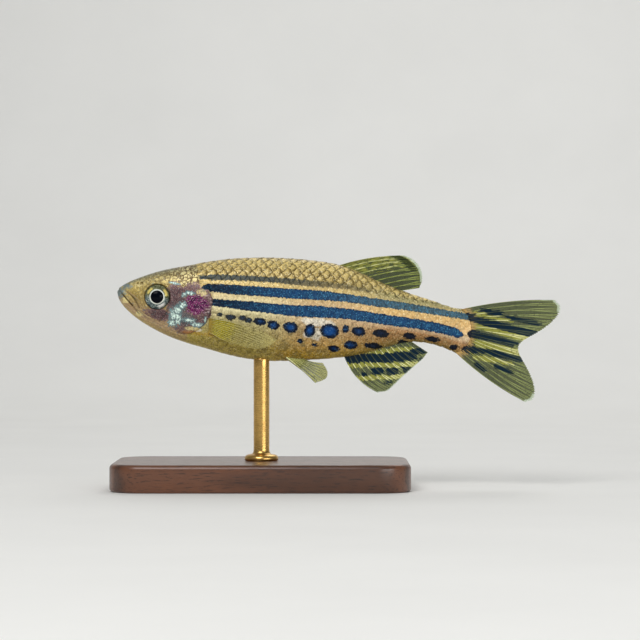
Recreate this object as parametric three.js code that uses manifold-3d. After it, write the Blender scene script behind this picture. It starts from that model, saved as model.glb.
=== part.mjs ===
// Zebra danio, a small striped aquarium fish, as a life-size display model held on a plain stand.
// Millimetres, +Z up, with the origin at the middle of the underside of the stand's base.
// The fish is drawn in its own frame first: "along" runs from the snout down the body axis to the tail,
// "up" is square to it, and "out" is sideways from the middle plane. It is then tilted nose-up and raised.
import * as THREE from "three";
import { mergeVertices } from "three/addons/utils/BufferGeometryUtils.js";
import Module from "manifold-3d";

const wasm = await Module();
wasm.setup();

// Driving dimensions
const BODY_LENGTH = 33.6; // snout to the root of the tail fin
const PITCH_DEG = 7; // how far the nose is tilted up
const GAP = 0.3; // between a piece and its neighbour
const SWIM_HEIGHT = 9.5; // from the top of the base to the belly over the rod
const SIDES = 30; // facets round the body
const ROWS = 44; // facets along the body
const CLOSER_FORWARD = 1.5; // power above 1 sets the rows closer together towards the snout
const END_ROWS = 5; // facets over the round end of the tail stalk
const EYE_FACETS = [20, 12]; // round an eye and from its front to its back

// The body's outline at stations down its length: [along, back, belly, half width].
const STATIONS = [
  [0, -0.05, -0.05, 0],
  [0.6, 0.8, -1.2, 0.78],
  [2, 1.62, -2.24, 1.25],
  [4, 2.52, -3.18, 1.78],
  [6.5, 3.32, -3.92, 2.12],
  [9.5, 4.19, -4.42, 2.38],
  [12.5, 4.75, -4.79, 2.5],
  [15.5, 5.05, -4.72, 2.46],
  [18.5, 5.15, -4.25, 2.25],
  [21.5, 4.86, -3.66, 1.88],
  [24.5, 3.93, -2.7, 1.42],
  [27.5, 3.18, -1.5, 1.02],
  [30, 2.7, -1.29, 0.74],
  [32, 2.36, -1.72, 0.58],
  [BODY_LENGTH, 2.4, -2.3, 0.5],
];
const WIDEST_LEVEL = 0.53; // height of the widest level, as a share of the depth from the belly up
const HEAD_SQUARENESS = [2.6, 2.3]; // superellipse powers of the head's section: above, below
const TRUNK_SQUARENESS = [2.15, 1.95];
const TRUNK_FROM = 12; // along; the section has its trunk powers from here on
const STALK_END = { from: 32.5, to: 34 }; // where the flesh rounds off into the tail fin

const EYE = { along: 3.78, up: 0.05, out: 1.48, radius: 1.23, bulge: 0.72 };
const NOSTRIL = { along: 2.05, up: 1.12, radius: 0.3, depth: 0.2 };
const MOUTH = { tip: [-0.6, 0.75], corner: [1.6, -1.17], throat: [2.75, -3.4] };
const LIP = { radius: 0.27, proud: 0.15, fromLine: 0.29, points: 7 };
const COVER = { along: 7.15, up: -0.72, halfLength: 1.82, halfHeight: 2.5, leanDeg: 19 };
const COVER_PLATE = { proud: 0.12, thick: 0.6, keel: 0.55 };
const NECK_CUT = { along: 3.2, up: -0.3, radius: 5.2 };
const STALK_CUT = 28.6; // along

// A fin's rays grow from its root line to its rim. Each corner is [along, up, out].
// "arch" bends the leading ray out from its chord, and "rimArch" bends the rim out from its own.
const DORSAL = { rays: 9, root: [20.2, 26.1], rim: [[26.7, 6.75], [28.45, 3.85]], arch: 0.3, rimArch: 0.75 };
const ANAL = { rays: 14, root: [22, 27.8], rim: [[26.1, -6.9], [30.05, -2.25]], arch: 0.55, rimArch: -0.1 };
const TAIL = {
  rays: 19,
  hub: [33.3, 0.1],
  droopDeg: 7.5, // below the body axis
  spreadDeg: 35, // from the fin's own axis to a lobe's tip
  lobes: [9.3, 8.9], // hub to tip, above and below
  fork: 5.1, // hub to the notch
  arch: 0.3, // of the leading rays
  rootShare: 0.985, // of the stalk's rounded end that the rays' roots go round
  crowding: 0.85, // power below 1 sets the rays closer together towards the leading edges
  forkWidth: 0.87, // share of each lobe over which the rays grow to their full length
  tipRounding: { from: 0.8, share: 0.07 }, // the outermost rays are this much shorter
};
const PECTORAL = {
  rays: 11,
  root: [[9.3, -1.5, 2.42], [9.4, -2.7, 2.1]],
  rim: [[15.55, -2.7, 3.2], [13.7, -3.75, 2.85]],
  arch: 0.3,
  rimArch: 0.3,
};
const PELVIC = {
  rays: 7,
  root: [[16.3, -4.1, 0.75], [17.3, -4.0, 0.35]],
  rim: [[20.05, -6.25, 1.85], [20.45, -4.8, 0.85]],
  arch: 0.2,
  rimArch: -0.35,
};
const WEB = 0.5; // a fin's thickness between its rays
const RAY = 0.82; // and over a ray
const RIM = 0.3; // and at its rim
const TAPER_FROM = 0.45; // share of a ray's length from which the fin thins towards its rim
const FIN_ROWS = 6; // facets along a ray

// Barbels grow from the upper lip and from the corner of the mouth, and trail along the cheek:
// [along, up, off], where off is how far the middle of the barbel lies outside the skin.
const BARBELS = [
  [[0.95, 0.12, -0.25], [1.6, -0.2, 0.3], [2.5, -0.8, 0.42]],
  [[2.0, -1.25, -0.3], [3.05, -1.9, 0.32], [4.5, -2.35, 0.42]],
];
const BARBEL = { root: 0.26, tip: 0.12, sides: 8, steps: 7 };

const BASE = { length: 28, width: 17, height: 2.6, corner: 3.2, bevel: 0.45 };
const ROD = { radius: 0.75, along: 14.3, socket: 1.4, sides: 24, cup: 0.9 };

// A natural cubic spline through points (x[i], y[i]), as a function of x.
function spline(x, y) {
  const n = x.length;
  const bend = new Array(n).fill(0); // second derivatives, nought at both ends
  const carried = new Array(n).fill(0);
  for (let i = 1; i < n - 1; i++) {
    const share = (x[i] - x[i - 1]) / (x[i + 1] - x[i - 1]);
    const pivot = share * bend[i - 1] + 2;
    const slopes = (y[i + 1] - y[i]) / (x[i + 1] - x[i]) - (y[i] - y[i - 1]) / (x[i] - x[i - 1]);
    bend[i] = (share - 1) / pivot;
    carried[i] = ((6 * slopes) / (x[i + 1] - x[i - 1]) - share * carried[i - 1]) / pivot;
  }
  for (let i = n - 2; i > 0; i--) bend[i] = bend[i] * bend[i + 1] + carried[i];
  return (at) => {
    let i = 1;
    while (i < n - 1 && at > x[i]) i++;
    const width = x[i] - x[i - 1];
    const a = (x[i] - at) / width;
    const b = 1 - a;
    const curved = ((a ** 3 - a) * bend[i - 1] + (b ** 3 - b) * bend[i]) * width ** 2;
    return a * y[i - 1] + b * y[i] + curved / 6;
  };
}

// The outline is splined over the square root of the distance along, which rounds the nose.
const rootOf = (along) => Math.sqrt(Math.max(along, 0) / BODY_LENGTH);
const stationRoots = STATIONS.map(([along]) => rootOf(along));
const [backAt, bellyAt, halfWidthAt] = [1, 2, 3].map((column) => {
  const curve = spline(stationRoots, STATIONS.map((row) => row[column]));
  return (along) => curve(rootOf(along));
});

const smooth = (t) => {
  const u = Math.min(Math.max(t, 0), 1);
  return u * u * (3 - 2 * u);
};
const mix = THREE.MathUtils.lerp;
const raised = (value, power) => Math.sign(value) * Math.abs(value) ** power;

// The section at a distance along, grown outwards by "grow": its widest level, reach up, reach down,
// half width, and the powers of its upper and lower halves.
function sectionAt(along, grow = 0) {
  const back = backAt(Math.min(along, BODY_LENGTH));
  const belly = bellyAt(Math.min(along, BODY_LENGTH));
  const level = mix(belly, back, WIDEST_LEVEL);
  const turned = smooth(along / TRUNK_FROM);
  const beyond = Math.max(along - STALK_END.from, 0) / (STALK_END.to - STALK_END.from);
  const kept = Math.sqrt(Math.max(1 - beyond ** 2, 0));
  return {
    level: mix(0, level, kept),
    up: (back - level) * kept + grow,
    down: (level - belly) * kept + grow,
    out: halfWidthAt(Math.min(along, BODY_LENGTH)) * Math.sqrt(kept) + grow,
    powers: HEAD_SQUARENESS.map((head, half) => mix(head, TRUNK_SQUARENESS[half], turned)),
  };
}

// How far out the skin lies at a place in side view, or nought outside the body.
function skinOut(along, up, grow = 0) {
  const s = sectionAt(along, grow);
  const above = up > s.level;
  const share = Math.abs(up - s.level) / (above ? s.up : s.down);
  const power = s.powers[above ? 0 : 1];
  return share >= 1 ? 0 : s.out * (1 - share ** power) ** (1 / power);
}

// Closed meshes and solids
function toGeometry(points, triangles) {
  const geometry = new THREE.BufferGeometry();
  geometry.setAttribute("position", new THREE.Float32BufferAttribute(points.flat(), 3));
  geometry.setIndex(triangles.flat());
  return geometry;
}

function toSolid(geometry) {
  const plain = geometry.clone();
  plain.deleteAttribute("normal");
  plain.deleteAttribute("uv");
  const merged = mergeVertices(plain, 1e-4);
  return new wasm.Manifold(
    new wasm.Mesh({
      numProp: 3,
      vertProperties: merged.attributes.position.array,
      triVerts: new Uint32Array(merged.index.array),
    }),
  );
}

function fromSolid(solid) {
  const mesh = solid.getMesh();
  const points = [];
  for (let i = 0; i < mesh.numVert; i++) {
    points.push([...mesh.vertProperties.subarray(i * mesh.numProp, i * mesh.numProp + 3)]);
  }
  return toGeometry(points, [...mesh.triVerts]);
}

const largest = (solid) => solid.decompose().reduce((a, b) => (a.volume() > b.volume() ? a : b));

// Rings of points joined into a tube, with a point at each end: first and last are single points.
function closedRings(rings, first, last) {
  const sides = rings[0].length;
  const points = [first, ...rings.flat(), last];
  const triangles = [];
  const at = (ring, side) => 1 + ring * sides + (side % sides);
  for (let side = 0; side < sides; side++) {
    triangles.push([0, at(0, side + 1), at(0, side)]);
    for (let ring = 0; ring < rings.length - 1; ring++) {
      const [a, b] = [at(ring, side), at(ring, side + 1)];
      const [c, d] = [at(ring + 1, side), at(ring + 1, side + 1)];
      triangles.push([a, b, d], [a, d, c]);
    }
    const end = rings.length - 1;
    triangles.push([points.length - 1, at(end, side), at(end, side + 1)]);
  }
  return toGeometry(points, triangles);
}

// The same tube as a solid, whichever way round its rings are given.
function outwards(rings, [first, last]) {
  const solid = toSolid(closedRings(rings, first, last));
  return solid.volume() > 0 ? solid : toSolid(closedRings([...rings].reverse(), last, first));
}

// The whole body without its fins, grown outwards by "grow".
function bodySolid(grow) {
  const stations = [];
  for (let row = 1; row <= ROWS; row++) {
    stations.push(STALK_END.from * (row / ROWS) ** CLOSER_FORWARD);
  }
  for (let row = 1; row < END_ROWS; row++) {
    stations.push(mix(STALK_END.from, STALK_END.to, Math.sin((row / END_ROWS) * (Math.PI / 2))));
  }
  const rings = stations.map((along) => {
    const s = sectionAt(along, grow);
    return Array.from({ length: SIDES }, (_, side) => {
      const angle = (side / SIDES) * 2 * Math.PI;
      const above = Math.sin(angle) > 0;
      const power = 2 / s.powers[above ? 0 : 1];
      const up = raised(Math.sin(angle), power) * (above ? s.up : s.down);
      return [along, raised(Math.cos(angle), power) * s.out, s.level + up];
    });
  });
  return outwards(rings, [[-grow, 0, STATIONS[0][1]], [STALK_END.to + grow, 0, 0]]);
}

// A flat outline in the middle plane, given as [along, up] points, carried sideways right through.
function sidewaysPrism(outline) {
  const reach = 4;
  const shape = new THREE.Shape(outline.map(([along, up]) => new THREE.Vector2(along, up)));
  const geometry = new THREE.ExtrudeGeometry(shape, { depth: 2 * reach, bevelEnabled: false });
  geometry.rotateX(Math.PI / 2);
  geometry.translate(0, reach, 0);
  return toSolid(geometry);
}

// A strip of the gap's thickness along a line of [along, up] points, as an outline.
function strip(line) {
  const sideOf = (i, side) => {
    const [a, b] = [line[Math.max(i - 1, 0)], line[Math.min(i + 1, line.length - 1)]];
    const length = Math.hypot(b[0] - a[0], b[1] - a[1]);
    const shift = (side * GAP) / 2 / length;
    return [line[i][0] - (b[1] - a[1]) * shift, line[i][1] + (b[0] - a[0]) * shift];
  };
  const there = line.map((_, i) => sideOf(i, 1));
  const back = line.map((_, i) => sideOf(i, -1)).reverse();
  return [...there, ...back];
}

function ellipse(shape, grow) {
  const lean = THREE.MathUtils.degToRad(shape.leanDeg);
  const points = 40;
  return Array.from({ length: points }, (_, i) => {
    const angle = (i / points) * 2 * Math.PI;
    const a = Math.cos(angle) * (shape.halfLength + grow);
    const b = Math.sin(angle) * (shape.halfHeight + grow);
    return [
      shape.along + a * Math.cos(lean) + b * Math.sin(lean),
      shape.up - a * Math.sin(lean) + b * Math.cos(lean),
    ];
  });
}

function slab(halfWidth) {
  const box = new THREE.BoxGeometry(60, 2 * halfWidth, 30);
  box.translate(BODY_LENGTH / 2, 0, 0);
  return toSolid(box);
}

function sphere(radius, squash, place) {
  const ball = new THREE.SphereGeometry(radius, ...EYE_FACETS);
  ball.rotateX(Math.PI / 2);
  ball.scale(...squash);
  ball.translate(...place);
  return toSolid(ball);
}

// Flesh: one body, cut into head, lower jaw, gill covers, trunk and tail stalk
function mouthLine() {
  return [MOUTH.tip, MOUTH.corner, MOUTH.throat];
}

// A roll round the snout along the mouth: side is 1 for the upper lip and -1 for the lower one.
function lipSolid(side) {
  const slope = (MOUTH.corner[1] - MOUTH.tip[1]) / (MOUTH.corner[0] - MOUTH.tip[0]);
  const centres = Array.from({ length: LIP.points }, (_, i) => {
    const share = i / (LIP.points - 1);
    const along = mix(0.12, MOUTH.corner[0], share);
    const up = MOUTH.tip[1] + slope * (along - MOUTH.tip[0]) + side * LIP.fromLine;
    const out = skinOut(along, up) + (LIP.proud - LIP.radius) * share ** 0.5;
    return [along + (LIP.radius - LIP.proud) * (1 - share), Math.max(out, 0.1), up];
  });
  const left = centres.map(([along, out, up]) => new THREE.Vector3(along, -out, up)).reverse();
  const right = centres.map(([along, out, up]) => new THREE.Vector3(along, out, up));
  const circle = new THREE.Shape().absarc(0, 0, LIP.radius, 0, 2 * Math.PI);
  return toSolid(
    new THREE.ExtrudeGeometry(circle, {
      steps: 20,
      curveSegments: 5,
      extrudePath: new THREE.CatmullRomCurve3([...left, ...right]),
    }),
  );
}

function gillCovers() {
  const window = sidewaysPrism(ellipse(COVER, 0));
  return bodySolid(COVER_PLATE.proud)
    .intersect(window)
    .subtract(bodySolid(-COVER_PLATE.thick))
    .subtract(slab(COVER_PLATE.keel + GAP));
}

function gillRecess() {
  return sidewaysPrism(ellipse(COVER, GAP))
    .subtract(bodySolid(-COVER_PLATE.thick - GAP))
    .subtract(slab(COVER_PLATE.keel));
}

function eyeSolid(side, grow) {
  const radius = EYE.radius + grow;
  return sphere(radius, [1, (EYE.bulge + grow) / radius, 1], [EYE.along, side * EYE.out, EYE.up]);
}

function nostrilPit(side) {
  const out = skinOut(NOSTRIL.along, NOSTRIL.up);
  return sphere(NOSTRIL.radius, [1, 1, 1], [
    NOSTRIL.along,
    side * (out + NOSTRIL.radius - NOSTRIL.depth),
    NOSTRIL.up + NOSTRIL.radius - NOSTRIL.depth,
  ]);
}

function neckLine() {
  const points = 15;
  const sweep = Math.PI * 0.9;
  return Array.from({ length: points }, (_, i) => {
    const angle = sweep * (i / (points - 1) - 0.5);
    return [
      NECK_CUT.along + NECK_CUT.radius * Math.cos(angle),
      NECK_CUT.up + NECK_CUT.radius * Math.sin(angle),
    ];
  });
}

// A barbel tapers along a curve from inside the skin to its free tip.
function barbel(places, side) {
  const points = places.map(([along, up, off]) => {
    return new THREE.Vector3(along, side * (skinOut(along, up) + off), up);
  });
  const curve = new THREE.CatmullRomCurve3(points);
  const frames = curve.computeFrenetFrames(BARBEL.steps);
  const rings = Array.from({ length: BARBEL.steps + 1 }, (_, step) => {
    const centre = curve.getPointAt(step / BARBEL.steps);
    const radius = mix(BARBEL.root, BARBEL.tip, step / BARBEL.steps);
    return Array.from({ length: BARBEL.sides }, (_, i) => {
      const angle = (i / BARBEL.sides) * 2 * Math.PI;
      return centre
        .clone()
        .addScaledVector(frames.normals[step], Math.cos(angle) * radius)
        .addScaledVector(frames.binormals[step], Math.sin(angle) * radius)
        .toArray();
    });
  });
  const ends = [0, 1].map((share) => curve.getPointAt(share).toArray());
  return outwards(rings, ends);
}

// Each piece of flesh is known by a place inside its box.
const FLESH = {
  lower_jaw: [0.9, -1.3],
  head: [4.6, 0],
  trunk: [18, 0.3],
  tail_stalk: [31.5, 0.4],
};

function fleshPieces() {
  let flesh = bodySolid(0).add(lipSolid(1)).add(lipSolid(-1)).subtract(gillRecess());
  for (const side of [-1, 1]) {
    flesh = flesh.subtract(eyeSolid(side, GAP)).subtract(nostrilPit(side));
  }
  const stalkLine = [
    [STALK_CUT, -8],
    [STALK_CUT, 8],
  ];
  for (const line of [mouthLine(), neckLine(), stalkLine]) {
    flesh = flesh.subtract(sidewaysPrism(strip(line)));
  }
  const parts = flesh.decompose().map((solid) => {
    const { min, max } = solid.boundingBox();
    return { solid, along: (min[0] + max[0]) / 2, up: (min[2] + max[2]) / 2, volume: solid.volume() };
  });
  return Object.entries(FLESH).map(([name, [along, up]]) => {
    const near = parts.filter((p) => p.volume > 0.5);
    near.sort((a, b) => Math.hypot(a.along - along, a.up - up) - Math.hypot(b.along - along, b.up - up));
    return [name, name === "head" ? withBarbels(near[0].solid) : near[0].solid];
  });
}

function withBarbels(head) {
  let solid = head;
  for (const side of [-1, 1]) {
    for (const places of BARBELS) solid = solid.add(barbel(places, side));
  }
  return solid;
}

// Fins: a web with a ridge on both faces for each ray
// place(across, down) gives the middle of the fin, across running from the leading ray to the last one
// and down from the root to the rim.
function finSolid(rays, place) {
  const columns = 2 * rays - 1;
  const step = 0.01;
  const faces = [[], []];
  for (let row = 0; row <= FIN_ROWS; row++) {
    for (let column = 0; column < columns; column++) {
      const across = column / (columns - 1);
      const down = row / FIN_ROWS;
      const here = place(across, down);
      const [a0, a1] = [Math.max(across - step, 0), Math.min(across + step, 1)];
      const [d0, d1] = [Math.max(down - step, 0), Math.min(down + step, 1)];
      const normal = new THREE.Vector3()
        .crossVectors(
          place(a1, down).sub(place(a0, down)),
          place(across, d1).sub(place(across, d0)),
        )
        .normalize();
      const over = column % 2 === 0 ? RAY : WEB;
      const thick = mix(over, RIM, smooth((down - TAPER_FROM) / (1 - TAPER_FROM)));
      faces[0].push(here.clone().addScaledVector(normal, thick / 2).toArray());
      faces[1].push(here.clone().addScaledVector(normal, -thick / 2).toArray());
    }
  }
  const points = faces.flat();
  const triangles = [];
  const at = (face, row, column) => face * faces[0].length + row * columns + column;
  const quad = (a, b, c, d) => triangles.push([a, b, c], [a, c, d]);
  for (let row = 0; row < FIN_ROWS; row++) {
    for (let column = 0; column < columns - 1; column++) {
      const corners = (face) => [
        at(face, row, column),
        at(face, row, column + 1),
        at(face, row + 1, column + 1),
        at(face, row + 1, column),
      ];
      quad(...corners(0));
      const [a, b, c, d] = corners(1);
      triangles.push([a, c, b], [a, d, c]);
    }
    quad(at(0, row, 0), at(0, row + 1, 0), at(1, row + 1, 0), at(1, row, 0));
    const last = columns - 1;
    quad(at(0, row + 1, last), at(0, row, last), at(1, row, last), at(1, row + 1, last));
  }
  for (let column = 0; column < columns - 1; column++) {
    quad(at(0, 0, column + 1), at(0, 0, column), at(1, 0, column), at(1, 0, column + 1));
    const end = FIN_ROWS;
    quad(at(0, end, column), at(0, end, column + 1), at(1, end, column + 1), at(1, end, column));
  }
  const solid = toSolid(toGeometry(points, triangles));
  if (solid.volume() > 0) return solid;
  return toSolid(toGeometry(points, triangles.map(([a, b, c]) => [a, c, b])));
}

// A point on the chord from start to end, bent off it by "arch" at the middle in the middle plane.
function arched(start, end, share, arch) {
  const point = new THREE.Vector3().lerpVectors(start, end, share);
  const chord = end.clone().sub(start);
  const length = Math.hypot(chord.x, chord.z);
  const off = 4 * share * (1 - share) * arch;
  point.x -= (chord.z / length) * off;
  point.z += (chord.x / length) * off;
  return point;
}

const middlePlane = ([along, up]) => new THREE.Vector3(along, 0, up);
const inSpace = (side) => ([along, up, out]) => new THREE.Vector3(along, side * out, up);

// A fin on the middle line, whose root follows the back or the belly at the gap's distance.
function medianFin(fin, edgeAt, side) {
  const [first, last] = fin.rim.map(middlePlane);
  return finSolid(fin.rays, (across, down) => {
    const along = mix(...fin.root, across);
    const root = new THREE.Vector3(along, 0, edgeAt(along) + side * GAP);
    const rim = arched(first, last, across, side * fin.rimArch);
    return arched(root, rim, down, side * fin.arch * (1 - across));
  });
}

// The tail fin spreads from the round end of the stalk into two lobes, from the upper one down.
function tailFin() {
  const droop = THREE.MathUtils.degToRad(TAIL.droopDeg);
  const spread = THREE.MathUtils.degToRad(TAIL.spreadDeg);
  const hub = middlePlane(TAIL.hub);
  const edges = [backAt(STALK_END.from), -bellyAt(STALK_END.from)];
  return finSolid(TAIL.rays, (across, down) => {
    const outward = Math.abs(1 - 2 * across);
    const side = across < 0.5 ? 1 : -1;
    const half = across < 0.5 ? 0 : 1;
    const stalkEnd = STALK_END.to - STALK_END.from;
    const round = stalkEnd * Math.sqrt(1 - (TAIL.rootShare * outward) ** 2);
    const root = new THREE.Vector3(STALK_END.from + round + GAP, 0, side * outward * edges[half]);
    const angle = side * spread * outward ** TAIL.crowding - droop;
    const { from, share } = TAIL.tipRounding;
    const rounding = 1 - share * smooth((outward - from) / (1 - from));
    const reach = mix(TAIL.fork, TAIL.lobes[half], smooth(outward / TAIL.forkWidth)) * rounding;
    const rim = new THREE.Vector3(Math.cos(angle), 0, Math.sin(angle)).multiplyScalar(reach).add(hub);
    return arched(root, rim, down, side * TAIL.arch * outward);
  });
}

// A paired fin starts inside the body, and the body grown by the gap is cut from it.
function pairedFin(fin, side) {
  const corner = inSpace(side);
  const [rootFirst, rootLast] = fin.root.map(corner);
  const [rimFirst, rimLast] = fin.rim.map(corner);
  const solid = finSolid(fin.rays, (across, down) => {
    const root = new THREE.Vector3().lerpVectors(rootFirst, rootLast, across);
    const rim = arched(rimFirst, rimLast, across, fin.rimArch);
    return arched(root, rim, down, fin.arch * (1 - 2 * across));
  });
  return largest(solid.subtract(grownBody));
}

// Stand: a flat base with one rod up to the belly
function baseSolid() {
  const [x, y, r] = [BASE.length / 2 - BASE.bevel, BASE.width / 2 - BASE.bevel, BASE.corner];
  const shape = new THREE.Shape();
  shape.absarc(x - r, y - r, r, 0, Math.PI / 2);
  shape.absarc(r - x, y - r, r, Math.PI / 2, Math.PI);
  shape.absarc(r - x, r - y, r, Math.PI, 1.5 * Math.PI);
  shape.absarc(x - r, r - y, r, 1.5 * Math.PI, 2 * Math.PI);
  const plate = new THREE.ExtrudeGeometry(shape, {
    depth: BASE.height - 2 * BASE.bevel,
    bevelSize: BASE.bevel,
    bevelThickness: BASE.bevel,
    bevelSegments: 2,
    curveSegments: 6,
  });
  plate.translate(0, 0, BASE.bevel);
  return toSolid(plate).subtract(rodBlank(ROD.radius + GAP, BASE.height - ROD.socket - GAP));
}

function rodBlank(radius, from) {
  const top = BASE.height + SWIM_HEIGHT + ROD.cup;
  const rod = new THREE.CylinderGeometry(radius, radius, top - from, ROD.sides);
  rod.rotateX(Math.PI / 2);
  rod.translate(0, 0, (top + from) / 2);
  return toSolid(rod);
}

// Where the fish's frame goes over the base: the belly over the rod is at the swimming height.
const tilt = THREE.MathUtils.degToRad(PITCH_DEG);
const bellyOverRod = new THREE.Vector3(ROD.along, 0, bellyAt(ROD.along))
  .applyAxisAngle(new THREE.Vector3(0, 1, 0), tilt);
const lift = new THREE.Vector3(0, 0, BASE.height + SWIM_HEIGHT).sub(bellyOverRod);

const grownBody = bodySolid(GAP);

function rodSolid() {
  const raisedBody = grownBody.rotate([0, PITCH_DEG, 0]).translate(lift.toArray());
  return largest(rodBlank(ROD.radius, BASE.height - ROD.socket).subtract(raisedBody));
}

// Finishes
const finish = (color, roughness, metalness) =>
  new THREE.MeshStandardMaterial({ color, roughness, metalness });
const FINISHES = {
  skin: finish("#c2a25c", 0.38, 0.25),
  gill: finish("#9a7f8c", 0.32, 0.35),
  eye: finish("#10131a", 0.08, 0.0),
  fin: finish("#a9a45c", 0.4, 0.0),
  wood: finish("#3d2417", 0.35, 0.0),
  brass: finish("#b58b3f", 0.28, 1.0),
};

function addPiece(group, name, solid, material) {
  const mesh = new THREE.Mesh(fromSolid(solid), FINISHES[material]);
  mesh.name = name;
  group.add(mesh);
}

const fish = new THREE.Group();
fish.rotation.y = tilt;
fish.position.copy(lift);
for (const [name, solid] of fleshPieces()) addPiece(fish, name, solid, "skin");

const covers = gillCovers().decompose();
for (const cover of covers) {
  const { min, max } = cover.boundingBox();
  addPiece(fish, min[1] + max[1] < 0 ? "gill_cover_left" : "gill_cover_right", cover, "gill");
}

addPiece(fish, "dorsal_fin", medianFin(DORSAL, backAt, 1), "fin");
addPiece(fish, "anal_fin", medianFin(ANAL, bellyAt, -1), "fin");
addPiece(fish, "tail_fin", tailFin(), "fin");

// The fish faces -X, so its left is -Y.
for (const [hand, side] of [["left", -1], ["right", 1]]) {
  addPiece(fish, `eye_${hand}`, eyeSolid(side, 0), "eye");
  addPiece(fish, `pectoral_fin_${hand}`, pairedFin(PECTORAL, side), "fin");
  addPiece(fish, `pelvic_fin_${hand}`, pairedFin(PELVIC, side), "fin");
}

const stand = new THREE.Group();
addPiece(stand, "stand_base", baseSolid(), "wood");
addPiece(stand, "stand_rod", rodSolid(), "brass");

const part = new THREE.Group();
part.add(fish, stand);
export default part;
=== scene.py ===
"""A life-size zebra danio held on a plain display stand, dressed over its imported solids.

Sizes are in millimetres in the fish's own frame until the last step: "along" runs from the snout down
the body axis to the tail, "out" is sideways, with the fish's left side at negative values, and "up" is
square to both. place_fish() then tilts the frame nose-up, raises it over the stand and turns it to metres.
"""
import math

import bpy
import numpy as np
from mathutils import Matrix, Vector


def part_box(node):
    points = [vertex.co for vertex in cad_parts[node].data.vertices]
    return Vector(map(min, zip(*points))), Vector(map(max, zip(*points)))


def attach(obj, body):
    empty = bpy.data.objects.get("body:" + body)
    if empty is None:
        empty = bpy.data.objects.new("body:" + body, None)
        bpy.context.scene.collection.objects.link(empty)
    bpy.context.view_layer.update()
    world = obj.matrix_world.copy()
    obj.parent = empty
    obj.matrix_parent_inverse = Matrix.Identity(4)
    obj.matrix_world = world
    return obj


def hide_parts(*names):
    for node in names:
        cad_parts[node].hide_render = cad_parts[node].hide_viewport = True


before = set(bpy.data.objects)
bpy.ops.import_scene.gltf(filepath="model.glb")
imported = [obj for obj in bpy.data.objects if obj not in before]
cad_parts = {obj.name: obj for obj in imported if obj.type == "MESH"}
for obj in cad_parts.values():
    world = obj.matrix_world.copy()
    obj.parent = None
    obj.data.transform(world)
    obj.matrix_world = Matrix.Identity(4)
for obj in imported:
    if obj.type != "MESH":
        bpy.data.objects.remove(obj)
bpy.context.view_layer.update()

bl_info = {
    "name": "Zebra danio on a stand",
    "version": (1, 0, 0),
    "blender": (4, 5, 0),
    "location": "3D View > Sidebar > Danio",
    "description": "Builds a life-size striped fish, with scales, fins and eyes, on a display stand",
    "category": "Add Mesh",
}

MM = 0.001
HANDS = (("left", -1), ("right", 1))

# The body, as in the solids
BODY_LENGTH = 33.6
PITCH = math.radians(7.0)
SWIM_HEIGHT = 9.5
ROD_ALONG = 14.3
STATIONS = np.array([  # along, back, belly, half width
    (0, -0.05, -0.05, 0),
    (0.6, 0.8, -1.2, 0.78),
    (2, 1.62, -2.24, 1.25),
    (4, 2.52, -3.18, 1.78),
    (6.5, 3.32, -3.92, 2.12),
    (9.5, 4.19, -4.42, 2.38),
    (12.5, 4.75, -4.79, 2.5),
    (15.5, 5.05, -4.72, 2.46),
    (18.5, 5.15, -4.25, 2.25),
    (21.5, 4.86, -3.66, 1.88),
    (24.5, 3.93, -2.7, 1.42),
    (27.5, 3.18, -1.5, 1.02),
    (30, 2.7, -1.29, 0.74),
    (32, 2.36, -1.72, 0.58),
    (BODY_LENGTH, 2.4, -2.3, 0.5),
])
WIDEST_LEVEL = 0.53
HEAD_POWERS = (2.6, 2.3)
TRUNK_POWERS = (2.15, 1.95)
TRUNK_FROM = 12.0
STALK_FROM = 32.5
STALK_TO = 34.0

# The head
EYE_AT = (3.86, -0.05)
EYE_OUT = 1.48
EYE_RADIUS = 1.19
EYE_BULGE = 0.72
MOUTH_FRONT = (-0.6, 0.75)
MOUTH_CORNER = (1.6, -1.17)
COVER_AT = (7.15, -0.72)
COVER_HALF = (1.82, 2.5)
COVER_LEAN = math.radians(19)
COVER_PROUD = 0.08
COVER_CREASE = ((5.4, -2.35), (7.0, -2.2), (8.3, -1.6))
COVER_RAYS_FROM = (5.3, 1.1)
JAW_KNOB = (2.25, -1.95)
NOSTRILS = ((1.84, 1.0, 0.15), (2.18, 1.02, 0.19))  # along, up, radius
UPPER_JAW_FOLD = ((1.3, -0.13), (1.79, -0.59), (2.26, -1.3))
LOWER_JAW_FOLD = ((1.5, -1.1), (2.3, -1.85))
CHEEK_EDGE = ((4.85, 0.93), (5.08, -0.19), (4.94, -1.35), (4.3, -2.38))
THROAT_FOLDS = (0.35, 0.62, 0.9)  # above the belly line
CREASES = (  # how dark its painted shade is, along which path, how wide
    (0.8, UPPER_JAW_FOLD, 0.07),
    (0.7, LOWER_JAW_FOLD, 0.07),
    (0.5, CHEEK_EDGE, 0.08),
)
BARBELS = (  # along, up, off the skin: from the root to the tip
    ((0.95, 0.12, -0.1), (1.6, -0.2, 0.2), (2.4, -0.75, 0.3)),
    ((2.0, -1.3, -0.1), (3.05, -1.95, 0.2), (4.3, -2.35, 0.3)),
)

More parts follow.
